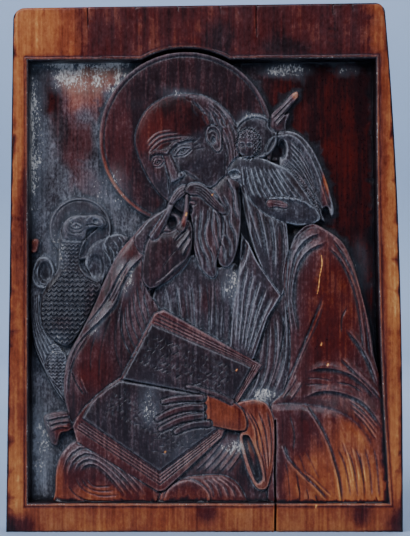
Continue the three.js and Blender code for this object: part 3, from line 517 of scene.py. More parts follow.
def eye(angle, share, at, sign):
    """The change of height round one eye: a hollow socket, the ball between two lids that meet in
    points, a fold over the upper lid, a line below the lower one, and a ring and a pit for the iris."""
    across = (angle - at) / 13.5
    opening = np.clip(1 - across ** 2, 0, 1)
    upper = 0.503 - 0.036 * opening ** 0.8
    lower = 0.503 + 0.021 * opening
    along = ease(1.2, 0.9, np.abs(across))
    level = -2.0 * bump(angle, share, at - 3 * sign, 0.495, 17, 0.055)
    ball = ease(0, 0.008, share - upper) * ease(0, 0.008, lower - share)
    level += 1.3 * ball * opening ** 0.5
    level += 1.6 * along * bell(share - upper, 0.008)
    level += 1.1 * along * bell(share - lower, 0.007)
    level += 0.7 * along * bell(share - upper + 0.026, 0.007)
    level += 0.5 * along * bell(share - lower - 0.024, 0.007)
    iris = np.hypot((angle - at) / 5.6, (share - 0.494) / 0.021)
    level -= 0.8 * ball * bell(iris - 1, 0.24)
    level -= 1.3 * ball * ease(0.6, 0.3, iris)
    return level


def brows(angle, share):
    """Two arched ridges of short hair strokes, each starting beside the root of the nose."""
    level = np.zeros(angle.shape)
    for at, sign in ((-23, -1), (23, 1)):
        reach = np.clip((angle - at) / 26, -1, 1)
        arch = 0.452 - 0.045 * np.cos(reach * np.pi / 2) - 0.010 * reach * sign
        along = ease(28, 17, np.abs(angle - at))
        hair = 1 + 0.3 * np.sin((angle - 300 * sign * (share - arch)) * 1.9)
        level += 1.5 * along * hair * bell(share - arch, 0.0135)
        level -= 0.5 * along * bell(share - arch - 0.026, 0.010)
    return level


def nose(angle, share):
    """A ridge with steep flanks that widens and rises from the brows to the tip, and a wing with the
    nostril's hollow on the side that shows."""
    down = np.clip((share - 0.42) / (0.7 - 0.42), 0, 1)
    middle = -NOSE_REACH * down
    half = mix(5.0, 8.5, down ** 1.5)
    ridge = np.clip(1.35 - 1.35 * (np.abs(angle - middle) / (1.5 * half)) ** 1.7, 0, 1)
    ends = ease(0.38, 0.46, share) * ease(0.722, 0.695, share)
    level = mix(1.3, 3.2, down) * ridge * ends
    wing = np.hypot((angle - 6.5) / 5.4, (share - 0.682) / 0.024)
    level += 1.5 * np.sqrt(np.clip(1 - wing ** 2, 0, 1))
    level -= 0.9 * bell(wing - 1.2, 0.25) * ease(2, 6, angle)
    level -= 1.3 * bump(angle, share, 3.0, 0.712, 3.4, 0.009)
    return level


def creases(angle, share):
    """Shallow lines that any old face has: three over the brows, one beside the nose, some by the eye."""
    level = np.zeros(angle.shape)
    for number, height in enumerate((0.365, 0.328, 0.291)):
        arch = height - 0.022 * np.cos(np.radians(angle * 4.0)) + 0.014 * (np.abs(angle) / 40)
        along = ease(50 - 8 * number, 18, np.abs(angle - 2 + 3 * number))
        level += 0.55 * along * bell(share - arch, 0.009)
        level -= 0.4 * along * bell(share - arch - 0.016, 0.008)
    smile = 17 + 70 * np.clip(share - 0.66, 0, 0.2) ** 0.8
    side = ease(0.63, 0.68, share) * ease(0.80, 0.76, share)
    level += 0.5 * side * bell(np.abs(angle + 1) - smile, 2.2)
    level -= 0.6 * side * bell(np.abs(angle + 1) - smile + 4, 2.6)
    for drop in (-0.03, 0.0, 0.03):
        line = 0.5 + drop + drop * (angle - 44) / 22
        along = ease(40, 46, angle) * ease(62, 52, angle)
        level -= 0.5 * bell(share - line, 0.007) * along
    return level


def carve_face():
    skull = ring(-52.5, 295.5, -50, 308.5, -43.5, 319.5, -31.5, 328, -17, 331.5, -1, 329.5, 12.5, 321,
        21.5, 310.5, 25, 295.5, 24.5, 277.5, 22, 258, 12, 244, -4, 238, -18, 242, -24.5, 247, -35, 257,
        -43.5, 270, -48.5, 281)
    lay(skull, 8.0, 3.4, 26, rise=0.035, worn=0.24, dirty=0.1, rim=0.3)
    # A lighter patch on the skull's upper left: partly rubbed wear and partly a painted highlight
    stain((-38, 308), 16, 22, 0.38, 0.8)
    part, x, z = window(skull, 0)
    angle, share = head_angles(x, z)
    level = eye(angle, share, -24, -1) + eye(angle, share, 24, 1) + brows(angle, share)
    level += nose(angle, share) + creases(angle, share)
    level += 0.8 * bump(angle, share, 38, 0.62, 18, 0.06) + 0.6 * bump(angle, share, -34, 0.62, 12, 0.06)
    level -= 0.7 * bump(angle, share, 22, 0.7, 9, 0.05)
    level -= 1.0 * bump(angle, share, 66, 0.5, 12, 0.09)
    inside = ease(0.0, 2.5, depth_inside(skull, x, z))
    relief[part] += level * inside
    shade = ease(0.36, 0.44, share) * inside
    rub(None, 0.8, 0.85 * shade, part)
    rub(0.16, None, 0.6 * shade, part)
    red_nose = bump(angle, share, -5, 0.58, 6, 0.12) * inside
    rub(0.4, None, 0.7 * red_nose, part)


def carve_ear_and_hair():
    hair = ring(-12, 329, -2, 330.3, 12.5, 322, 22, 311, 26, 296, 26.5, 277.5, 27, 262, 27, 248,
        22, 246, 19, 258, 15.5, 272, 17, 284, 12, 296, 6, 304, 2, 314, -6, 322)
    lay(hair, 9.2, 1.8, 8, rise=0.02, worn=0.26, dirty=0.55)
    fan((-8, 326, 1, 317, 5, 306, 12, 297, 17, 285, 16, 268, 20, 252), (4, 327, 15, 317, 22.5, 304,
        24.5, 290, 25, 276, 25, 262, 25.5, 249), 5, 3.0, 0.8, fold)
    for lock in ((6, 318, 11, 314, 12, 308, 17, 304, 18, 297), (0, 325, 6, 322, 9, 316, 14, 312),
        (12, 320, 17, 313, 18, 305)):
        fold(smooth(lock), 2.6, 0.5, 0.2)
    for lock in ((-15, 330.5, -10, 326, -7.5, 319, -4, 314), (-7, 326.5, -2, 319.6, 0.5, 311.8, 4, 306)):
        fold(smooth(lock), 3.0, 0.7, 0.2)
    carve_ear()


def on_ear(*steps):
    """Points whose steps across and down the head, from the ear's middle, the numbers give in turn."""
    return on_head(84, 0.515) + [leaning(across, down) for across, down in as_points(steps)]


def carve_ear():
    """The near ear: a rounded shell with a thick rim, a second fold inside it, a bowl and a lobe."""
    shell = smooth(on_ear(-5.2, -5, -2.5, -9.6, 2.2, -10.4, 5.8, -7, 6.0, -1, 3.8, 4.5, 1.5, 8.8,
        -1.8, 10.4, -4.4, 7.4, -4.8, 2.5, -5.8, -1), True)
    lay(shell, 10.4, 1.0, 2.4, worn=0.22, dirty=0.5, trench=2.5, rim=0.9)
    groove(smooth(on_ear(-3.4, -5, -0.6, -7.6, 3.2, -5.6, 3.4, -1, 1.2, 3.6)), 2.0, 1.3)
    groove(smooth(on_ear(-2.8, -2.4, 0.4, -4.4, 1.4, -1)), 1.4, 0.6)
    pit(on_ear(-1.6, 0.8)[0], 2.0, 3.2, 1.8)
    pit(on_ear(-1.4, 6.4)[0], 1.6, 1.6, 0.4)


def carve_beard():
    side_beard = ring(8, 262, 14, 268, 20, 271, 26.5, 264, 28, 248, 27.5, 230, 25, 214, 21, 203,
        17, 199.8, 12, 201.5, 9, 210, 4, 226, -4, 240, -8, 252)
    middle_beard = ring(-13, 258, 4, 260, 12, 250, 14.5, 232, 12, 216, 9.5, 204, 9, 194, 6, 191.8,
        -1, 197, -6, 206, -8.5, 216, -9.5, 232)
    for lobe in (side_beard, middle_beard):
        lay(lobe, 7.6, 3.8, 13, worn=0.24, dirty=0.6, rim=0.3)
    for strand in ((11.5, 244, 16.5, 234, 17, 225, 20.5, 218, 20, 206), (14, 256, 20, 244, 20.5, 233,
        24, 225, 24, 214), (17, 268, 23, 256, 23.5, 245, 27, 236), (7, 246, 11.5, 234, 12, 222, 16, 212,
        15.5, 202), (4, 246, 3.5, 236, 1.5, 228, 3, 218, 7, 209, 7.5, 198), (-1, 246, -2, 234, -3, 224,
        -0.5, 214, 3, 206, 4, 196), (-6, 242, -7, 230, -6.5, 218, -3.5, 208, -1, 199), (9, 250, 7.5, 240,
        7, 230, 9, 221, 11, 213)):
        fold(smooth(strand), 3.2, 1.3, 0.12)
    fan((2, 226, 4, 216, 7, 208), (8, 228, 9, 218, 9.5, 210), 3, 1.6, 0.35)
    fan((15, 246, 18, 236, 20, 228), (21, 256, 23, 246, 25, 240), 3, 1.6, 0.35)
    stain((6, 222), 9, 22, 0.36, 0.8)
    lip = smooth((-14, 247.5, -11, 249, -7.5, 248.5))
    limb(lip, 1.6, 1.3, 10.8, 1.4, worn=0.3, dirty=0.5)
    far_half = ring(-12, 258, -15, 262.5, -20, 260, -25, 253.5, -28.5, 245, -27.5, 241, -24.5, 245,
        -20.5, 250.5, -15.5, 254)
    near_half = ring(-15, 257.5, -12, 263, -5, 264, 2.5, 260, 8.5, 252.5, 14.5, 246, 17.5, 240.5,
        14, 239.8, 8, 243.5, 1.5, 249, -4.5, 254, -10.5, 254.5)
    for half in (far_half, near_half):
        lay(half, 10.6, 2.2, 3.6, worn=0.24, dirty=0.5, trench=2.5)
    fan((-13, 259, -5, 261.5, 2, 257.5, 8, 250.5, 15, 243), (-13, 256, -6, 256.5, 0, 252, 6, 246,
        13, 241), 4, 2.0, 0.7)
    fan((-15, 261, -20, 257.5, -24.5, 251, -27, 244.5), (-14, 257, -18, 254, -22, 249.5, -25.5, 245), 3,
        1.8, 0.6)
    pit((-10.5, 243.5), 1.8, 3.4, 2.0)
    groove(smooth((26.5, 262, 29, 246, 31, 229, 29, 210, 23, 195)), 7, 7, 0.12, 0.9)


# The small angel behind the shoulder, reduced to plain forms

def carve_angel():
    blade = ring(49, 306, 50, 315, 59, 324, 66.5, 332, 70.5, 333.5, 71.5, 330, 65.5, 322.5, 61, 316,
        64.5, 317, 62, 309, 61.5, 302.5, 54, 302.5)
    lay(blade, 4.5, 2.2, 4, worn=0.24, dirty=0.45, rim=0.4)
    fan((50, 312, 59, 321, 68.5, 331), (53, 306, 60, 314, 68, 325), 3, 2.0, 0.9, fold)
    stain((70, 331), 6, 6, 0.66, 0.9)
    wing = ring(55.5, 302, 65.5, 303.5, 74.5, 299, 81, 291.5, 86.5, 281.5, 91.5, 269.5, 96, 255,
        98.5, 241.5, 96.5, 238.5, 93, 246, 89, 243, 91.5, 234.5, 86, 238, 79, 247, 73.5, 255, 65.5, 265,
        58, 272.5, 57, 286)
    lay(wing, 5, 2.8, 6, worn=0.18, dirty=0.75)
    fold(smooth((94.5, 242, 90.5, 256, 85, 273, 78, 288, 69.5, 298, 60, 301)), 4.6, 1.7, 0.1)
    fan((63, 298, 72, 290, 80, 275, 89, 250), (63, 284, 71, 275, 79, 263, 88, 244), 5, 2.2, 1.3)
    fan((64, 296, 72, 286, 80, 270), (66, 283, 73, 275, 80, 265), 4, 1.4, 0.7, fold)
    groove(smooth((60, 276, 69, 266, 77, 254, 86, 240)), 2.6, 1.6, 0.1)
    groove(smooth((61, 281, 71, 272.5, 79, 261.5, 86.5, 249, 90.5, 239)), 2.2, 1.4, 0.1)
    part, x, z = window(as_points((60, 236, 92, 280)), 0)
    row = reach_along(smooth((62, 277, 70, 267.5, 78, 256.5, 88, 239)), x, z)[0]
    rough = np.sin(x * 2.6 + 1.3 * np.sin(z * 1.9)) * np.sin(z * 2.3 + np.cos(x * 1.7))
    relief[part] += 0.7 * rough * ease(3.2, 1.6, row)
    fold(smooth((62, 300, 52, 298, 46.8, 289, 49, 282.5, 57, 281)), 2.6, 1.3, 0.1)
    robe = ring(24, 283, 31, 284, 39, 284, 51, 280, 64.5, 273, 73.5, 261.5, 82, 248.5, 88, 236.5,
        75, 231.5, 60, 234, 43.5, 242, 34.5, 251, 28.5, 263, 19, 268, 17, 272.5)
    lay(robe, 8, 2.6, 8, worn=0.14, dirty=1.1, rim=0.2)
    fan((28, 278, 29, 269, 30, 261, 34, 252), (55.5, 277, 62, 268, 70, 257, 80, 245), 10, 2.8, 0.8, fold)
    fan((33, 281, 38, 270, 46, 256, 52, 246), (50, 278, 57, 268, 63, 256, 66, 248), 3, 1.8, 0.5)
    fold(smooth((83, 244.5, 74.5, 250, 62, 252.3, 48, 252)), 2.6, 1.3, 0.1)
    lay(circle((33, 293.5), 8.4, 11, 32), 9.6, 2.8, 7, worn=0.22, dirty=0.7, trench=2)
    part, x, z = window(circle((33, 293.5), 10, 13), 0)
    curls = np.sin(x * 2.3 + np.sin(z * 1.7)) * np.sin(z * 2.1 + np.cos(x * 1.9))
    crown = ease(5.2, 7.5, np.hypot(x - 31, (z - 290) * 0.8))
    crown *= ease(11.5, 9.5, np.hypot(x - 33, (z - 293.5) * 0.82))
    relief[part] += 0.9 * curls * crown
    for centre in ((28.6, 292.3), (34, 292.3)):
        lay(circle(centre, 1.9, 1.1, 14), 10.9, 0.7, 1, trench=2.5)
        fold(smooth(as_points((2.4, 1.4, 0, 2.2, -2.4, 1.4)) + centre), 1.6, 0.6)
    groove((31.2, 293, 30.8, 287.8), 2.4, -1.1, 0.3)
    groove((28.8, 284.6, 33, 284.6), 1.4, 0.9, 0)
    groove((29.4, 282.8, 32.4, 282.8), 1.2, -0.5, 0)
    limb(smooth((50, 248, 55.5, 248.5, 61, 246.5)), 3.4, 2.4, 12, 2, worn=0.35, dirty=0.5)
    fan((51, 245.6, 60, 244.6), (51, 249.6, 61, 247.8), 3, 1.3, 0.8)
    pit((58.8, 289.5), 3.6, 7.5, 6)
    pit((22.5, 270.5), 4.4, 2.8, 3)
    pit((93.8, 239.5), 1.6, 4.2, 3)


# The open book: the block of leaves, the two pages and the rows of small strokes on them

def strokes(corner, along, up, rows, count, seed, width=1.2, depth=0.4):
    """Rows of short shallow strokes, none of them a letter, laid over a slanted block: each is a
    straight nick with a seeded lean and length."""
    random = np.random.default_rng(seed)
    corner, along, up = (np.asarray(value, float) for value in (corner, along, up))
    size = np.linalg.norm(up) / rows
    for row in range(rows):
        for number in range(count):
            if random.random() < 0.18:
                continue
            middle = corner + along * (number + 0.5) / count + up * (row + 0.5) / rows
            lean = up / np.linalg.norm(up) * size * random.uniform(0.18, 0.34)
            lean = lean + along / np.linalg.norm(along) * size * random.uniform(-0.3, 0.3)
            groove([middle - lean, middle + lean], width, depth * random.uniform(0.6, 1.2), 0)


def carve_book():
    block = (-63, 117, -72, 111, -82, 103, -91, 94, -97, 86, -100, 79.5, -97, 68, -35, 30, -30, 31,
        13, 71, 24, 96, 44, 126, -31, 168, -38, 165)
    lay(block, 9.8, 0.8, 4, worn=0.38, dirty=0.45, trench=2)
    page_edge = smooth((-64, 114, -74, 107.5, -84, 99, -92, 86))
    lower_page = np.vstack([page_edge, as_points((-34, 46, 9, 78, 22, 100))])
    lay(lower_page, 11.8, 0.9, 12, worn=0.17, dirty=0.5, trench=0.6)
    lay((-62, 115.5, 21, 98.5, 35, 124.5, -40, 157), 11.8, 0.9, 14, worn=0.17, dirty=0.5, trench=0.6)
    groove((-63, 115, -20, 107, 22, 98), 3.2, 1.5, 0.02)
    # The leaves' edges show as lines along the block: below, at the right and along the top
    outer = as_points((-99, 77, -33.5, 33, 13, 72))
    inner = as_points((-93, 84, -34, 45, 9.5, 77))
    for share in (0.22, 0.45, 0.68, 0.9):
        line = mix(outer, inner, share)
        groove(line[:2], 1.7, 0.9, 0.02)
        groove(line[1:], 1.7, 0.9, 0.02)
    outer = as_points((-34, 166.5, 42, 126.5, 24.5, 97))
    inner = as_points((-39, 158, 35.5, 125.5, 21.5, 99))
    for share in (0.25, 0.55, 0.85):
        line = mix(outer, inner, share)
        groove(line[:2], 1.8, 1.0, 0.02)
        groove(line[1:], 1.6, 0.9, 0.02)
    strokes((-80, 92), (78, -36), (16, 17), 5, 22, 3, depth=0.8)
    strokes((-44, 152), (70, -28), (-14, -22), 5, 20, 5, depth=0.8)
    strokes((-30, 55), (26, 18), (-18, 10), 3, 9, 7, depth=0.6)


# The hands: one raised to the beard, one resting on the book

def carve_hands():
    wrist = ring(-53.5, 221, -47.5, 229.5, -42.5, 235.5, -35, 241, -27, 245, -26, 240, -30, 230,
        -38, 224, -44, 218, -46.5, 209.5)
    lay(wrist, 8.6, 2.0, 8, worn=0.22, dirty=0.7, rim=0.3)
    palm = ring(-39, 226, -43.7, 219, -46, 209.5, -47, 200.5, -46.7, 189.5, -42, 184, -36, 185,
        -29, 192, -20.5, 199, -14.5, 204.5, -10, 213.5, -8.8, 224, -9.5, 232, -12, 236, -16, 234,
        -19.5, 230.5, -27, 226.8, -31.5, 226.5)
    lay(palm, 9.4, 3.2, 11, worn=0.2, dirty=0.35, trench=2, rim=0.5)
    limb(smooth((-38, 224, -33.5, 231, -29.3, 238.5, -25.8, 246)), 3.8, 2.0, 12.4, 2.4, worn=0.25,
        dirty=0.6)
    fold(smooth((-27, 244, -31, 237, -36, 229, -41, 222)), 2.2, 0.8, 0.1)
    limb(smooth((-17.5, 229, -15, 236, -13.6, 245, -13.2, 254)), 2.8, 1.4, 13.3, 2.6, worn=0.26,
        dirty=0.35)
    stain((-16, 235), 2.5, 6, 0.52, 0.8)
    for line in ((-23, 220.5, -18.5, 225.5, -14, 230.5, -12, 236), (-20.5, 213.5, -17, 218.5, -13.5, 223,
        -10.5, 228), (-17, 209, -14.5, 214, -12, 218, -10, 222)):
        fold(smooth(line), 2.6, 1.4, 0.1)
    groove(smooth((-32.5, 197, -28.5, 204.5, -23.5, 211, -19.5, 215)), 1.8, 0.5)
    fold(smooth((-15, 206, -23, 199, -31, 191.5, -38, 187)), 2.4, 0.7, 0.1)
    pit((-24.5, 233.5), 4.2, 5.6, 6)
    resting = ring(-3.5, 104.5, 6, 104.3, 14, 102, 22.5, 97.5, 29, 92, 32, 84, 31, 77, 23, 76.3,
        13, 78.3, 5, 79.8, -3, 80, -5, 88, -5, 97)
    lay(resting, 11.4, 2, 6, worn=0.5, dirty=0.15, trench=2, rim=0.3)
    for finger in ((-1.5, 101.3, -13, 101, -23, 100, -31, 98.3),
                   (-1.5, 94, -13, 93.7, -21.5, 91.7, -29, 88.7, -35.5, 85.2),
                   (-1.5, 87.3, -13, 85.9, -21.5, 83.2, -28, 80, -33, 77.6),
                   (3, 81.8, -7, 81, -14.5, 79, -21.5, 75.5)):
        limb(smooth(finger), 3.3, 2.5, 13.4, 2.8, worn=0.24, dirty=0.45)
        fold(smooth(as_points(finger)[::-1] + (0, 1.6)), 1.8, 0.6, 0.1)
    groove(smooth((-1, 104.5, 0.5, 93, 0.5, 82)), 2.6, 1.2)
    fold(smooth((3.5, 81, 3.8, 92, 2.5, 103.5)), 2.2, 0.5)
    limb(smooth((20, 98.3, 11, 102.8, 2, 106, -6, 108.8, -13, 109.8)), 2.4, 1.5, 13.2, 1.6, worn=0.24,
        dirty=0.4)


# The inscriptions' places: only shallow strokes

def carve_strokes():
    strokes((84, 330), (28, 0), (0, 20), 1, 9, 11, 1.4, 1.0)
    strokes((78, 318), (34, 2), (0, 7), 1, 10, 12, 1.2, 0.8)
    strokes((46, 328), (30, 0), (0, 19), 1, 10, 13, 1.4, 1.0)
    strokes((-105, 330), (36, 0), (0, 18), 1, 9, 14, 1.4, 0.4)


# The border, the field's walls, the worn edges and the crack

LEFT_LEAN = 5.5
RIGHT_LEAN = 14
RIGHT_BOW = 2.6
TOP_FALL = 4
TOP_LEFT_ROUND = 9
TOP_RIGHT_ROUND = 7
LEFT_BORDER = 17
RIGHT_BORDER = 10.5
FOOT_BORDER = 22
TOP_BORDER = 42
FIELD_RIGHT_LEAN = 10
FIELD_RIGHT_BOW = 2.6
WALL_DRAFT = 1.2
LIP_FLARE = 1.4
LIP_DEPTH = 2.5
HALO_CHANNEL = 2


def plank_left(z):
    return -BOARD_WIDTH / 2 + LEFT_LEAN * np.clip(z / BOARD_HEIGHT, 0, 1)


def plank_right(z):
    return BOARD_WIDTH / 2 - RIGHT_LEAN * np.clip(z / BOARD_HEIGHT, 0, 1) ** RIGHT_BOW


def field_left(z):
    return np.full(np.shape(z), LEFT_BORDER - BOARD_WIDTH / 2)


def field_right(z):
    share = np.clip((z - FOOT_BORDER) / (BOARD_HEIGHT - FOOT_BORDER - TOP_BORDER), 0, 1)
    return BOARD_WIDTH / 2 - RIGHT_BORDER - FIELD_RIGHT_LEAN * (1 - (1 - share) ** FIELD_RIGHT_BOW)


def field_top(x):
    share = np.clip((x + BOARD_WIDTH / 2 - LEFT_BORDER) / (BOARD_WIDTH - LEFT_BORDER), 0, 1)
    return BOARD_HEIGHT - TOP_BORDER - TOP_FALL / 2 * (1 - share)


def opening_depth():
    """How far each cell lies inside the opening: inside the field, or inside the halo's own channel."""
    sides = np.minimum(GRID_X - field_left(GRID_Z), field_right(GRID_Z) - GRID_X)
    ends = np.minimum(GRID_Z - FOOT_BORDER, field_top(GRID_X) - GRID_Z)
    return np.maximum(np.minimum(sides, ends), HALO_RADIUS + HALO_CHANNEL - HALO_AWAY)


def uneven(size, seed, stretch=1.0):
    """Smooth noise from -1 to 1: seeded random values on a coarse grid, blended by smooth steps."""
    random = np.random.default_rng(seed)
    u = (GRID_X - GRID_X.min()) / size
    v = (GRID_Z - GRID_Z.min()) / (size * stretch)
    values = random.uniform(-1, 1, (int(v.max()) + 3, int(u.max()) + 3))
    column, row = u.astype(int), v.astype(int)
    right, above = ease(0, 1, u - column), ease(0, 1, v - row)
    low = mix(values[row, column], values[row, column + 1], right)
    high = mix(values[row + 1, column], values[row + 1, column + 1], right)
    return mix(low, high, above)


def finish_carving():
    """Walls and border: a cell's height can't pass the wall, which runs from the floor at a draft of
    WALL_DRAFT inside the outline to the lip at LIP_FLARE outside it."""
    inward = opening_depth() + 0.3 * uneven(9, 21) + 0.15 * uneven(3, 22)
    straight = FIELD_DEPTH - LIP_DEPTH
    draft = straight * (1 - inward / WALL_DRAFT)
    flare = straight + LIP_DEPTH * np.clip(-inward / LIP_FLARE, 0, 1) ** 0.7
    wall = np.where(inward > 0, draft, flare)
    np.maximum(relief, wall, out=relief)
    np.clip(relief, 0, HIGHEST, out=relief)
    relief[inward < -LIP_FLARE] = FIELD_DEPTH
    # A thin scribed line runs beside the lip, and hand tools leave every surface a little uneven
    relief[:] -= 0.5 * tent(inward + LIP_FLARE + 1.6, 0.8)
    relief[:] += 0.08 * uneven(6, 31) + 0.07 * uneven(16, 32, 3) - 0.08


def carve_crack():
    """The drying crack runs up from the foot and thins out, and finer checks start at the top edge."""
    groove(smooth((53.2, -4, 53.8, 20, 53.3, 45, 53.9, 66, 53.6, 84)), 1.7, 8, 0, 0.8)
    for x, low, deep in ((39.4, 372, 1.6), (-88, 380, 1.4), (97, 389, 1.0), (-20, 392, 0.8),
                         (12, 390, 0.8), (112, 393, 0.7), (-52, 394, 0.8)):
        groove(smooth([(x, 404), (x - 0.4, (404 + low) / 2), (x + 0.2, low)]), 1.2, deep, 0.3)


# Flakes and scratches down to bare wood: the run of each and its width
CHIPS = [(smooth((88.4, 209, 88.8, 202, 87.2, 194, 86.4, 186, 85.3, 180)), 0.9)]
for chip_x, chip_z, chip_long in ((88, 141, 1.8), (24, 122, 1.0), (-14, 239.5, 1.4), (84, 19, 1.0),
                                  (93, 126, 1.0), (6, 255, 0.8), (-30, 60, 0.8)):
    CHIPS.append((np.array([(chip_x, chip_z), (chip_x + 0.5, chip_z + chip_long)]), 1.6))


def carve_chips():
    for run, width in CHIPS:
        groove(run, width, 0.4, 0, 1.0)


def carve():
    for carving in (carve_halos, carve_eagle, carve_knees, carve_robe, carve_mantle, carve_near_arm,
                    carve_face, carve_ear_and_hair, carve_beard, carve_angel, carve_book, carve_hands,
                    carve_strokes, finish_carving, carve_crack, carve_chips):
        carving()


carve()

# The finished board


def blurred(values, size):
    """Three running means along each axis, close to a bell curve that many millimetres wide."""
    reach = max(1, round(size / STEP / 2))
    for axis in (0, 1, 0, 1, 0, 1):
        ends = [(0, 0), (0, 0)]
        ends[axis] = (reach + 1, reach)
        total = np.cumsum(np.pad(values, ends, mode="edge"), axis=axis)
        length = total.shape[axis]
        values = np.take(total, np.arange(2 * reach + 1, length), axis)
        values = values - np.take(total, np.arange(0, length - 2 * reach - 1), axis)
        values = values / (2 * reach + 1)
    return values


def soft(centre, across, up):
    """1 at an oval's middle and 0 outside it."""
    return ease(1.0, 0.3, oval_reach(centre, across, up))


def paint_border():
    """The raised border is rubbed bare where hands held it and stays dark at the top's middle."""
    inward = opening_depth()
    border = ease(-0.5, -2.0, inward)
    rub(0.66 + 0.08 * uneven(34, 41, 2.5) + 0.06 * uneven(9, 42, 5), 0.2, border)
    top = ease(338, 362, GRID_Z)
    dark = ease(-118, -62, GRID_X + 14 * uneven(24, 46)) * ease(139, 118, GRID_X + 8 * uneven(15, 47))
    rub(0.35 + 0.06 * uneven(20, 43, 3) + 0.07 * uneven(3, 53, 14), 0.34, dark * top * border)
    rub(0.64 + 0.08 * uneven(26, 44), 0.3, ease(26, 14, GRID_Z) * border)
    for centre, across, up, worn, strength in (
        ((-136, 384), 36, 28, 0.74, 0.9), ((133, 380), 9, 26, 0.66, 0.8), ((-138, 215), 9, 70, 0.4, 0.8),
        ((-135, 250), 5, 40, 0.28, 0.8), ((-84, 15), 34, 12, 0.56, 0.7), ((-148, 4), 26, 14, 0.16, 0.9),
        ((150, 6), 16, 22, 0.2, 0.9), ((118, 14), 10, 14, 0.3, 0.8), ((3, 14), 13, 10, 0.3, 0.8),
        ((10, 372), 16, 22, 0.12, 0.8), ((60, 366), 30, 12, 0.14, 0.8), ((-88, 360), 8, 16, 0.3, 0.8),
        ((136, 150), 4, 110, 0.42, 0.7), ((143, 60), 8, 60, 0.82, 0.8), ((-142, 44), 9, 44, 0.8, 0.7),
        ((135, 300), 3, 60, 0.4, 0.8),
    ):
        rub(worn, None, strength * soft(centre, across, up) * border)
    # Black dirt in the scribed line; black at the walls, partly dirt and partly painted shade; and black
    #     # on the rounded outer edges, a painted shadow
    rub(0.30, None, 0.7 * tent(inward + 2.6, 2.2))
    # The outer edges: a painted shadow along their rounding
    edge = np.minimum(GRID_X - plank_left(GRID_Z), plank_right(GRID_Z) - GRID_X)
    edge = np.minimum(edge, np.minimum(BOARD_HEIGHT - GRID_Z, GRID_Z + 1))
    edge = edge + 0.7 * uneven(5, 48) + 0.5 * uneven(2, 49)
    rub(0.06, None, ease(1.8, 0.6, edge))
    # At the foot of the walls: a black band, partly dirt and partly painted shade
    rub(0.05, 0.05, ease(-0.6, 0.2, inward) * ease(1.6, 0.9, inward))


def paint_field():
    """The floor is dusty grey at the left and plain dark maroon at the right, with patches of uneven
    outline where the grey came off."""
    floor = ease(1.6, 0.4, relief) * ease(0.5, 2.5, opening_depth())
    right = ease(20, 60, GRID_X)
    rub(mix(0.16, 0.20 + 0.09 * uneven(26, 50), right), mix(0.85, 0.0, right), floor)
    for centre, across, up, worn, dirty, strength in (
        ((-95, 331), 32, 32, 0.5, 0.32, 1.0), ((-78, 345), 22, 14, 0.5, 0.34, 0.9),
        ((-97, 294), 21, 38, 0.29, 0.2, 1.0), ((-88, 262), 16, 20, 0.26, 0.4, 0.8),
        ((-117, 327), 13, 19, 0.18, 0.0, 1.5), ((-109, 307), 8, 18, 0.22, 0.2, 0.8),
        ((-128, 326), 8, 30, 0.16, 0.6, 0.6),
        ((72, 312), 20, 26, 0.36, 0.1, 0.6), ((118, 330), 10, 40, 0.12, 0.0, 0.7),
        ((106, 280), 20, 60, 0.34, 0.0, 0.5), ((-126, 60), 12, 44, 0.14, 1.0, 0.8),
    ):
        reach = oval_reach(centre, across, up) + 0.2 * uneven(8, 45, 1.6) + 0.17 * uneven(2.2, 54, 5)
        rub(worn, dirty, np.clip(ease(1.0, 0.36, reach) * floor * strength, 0, 1))


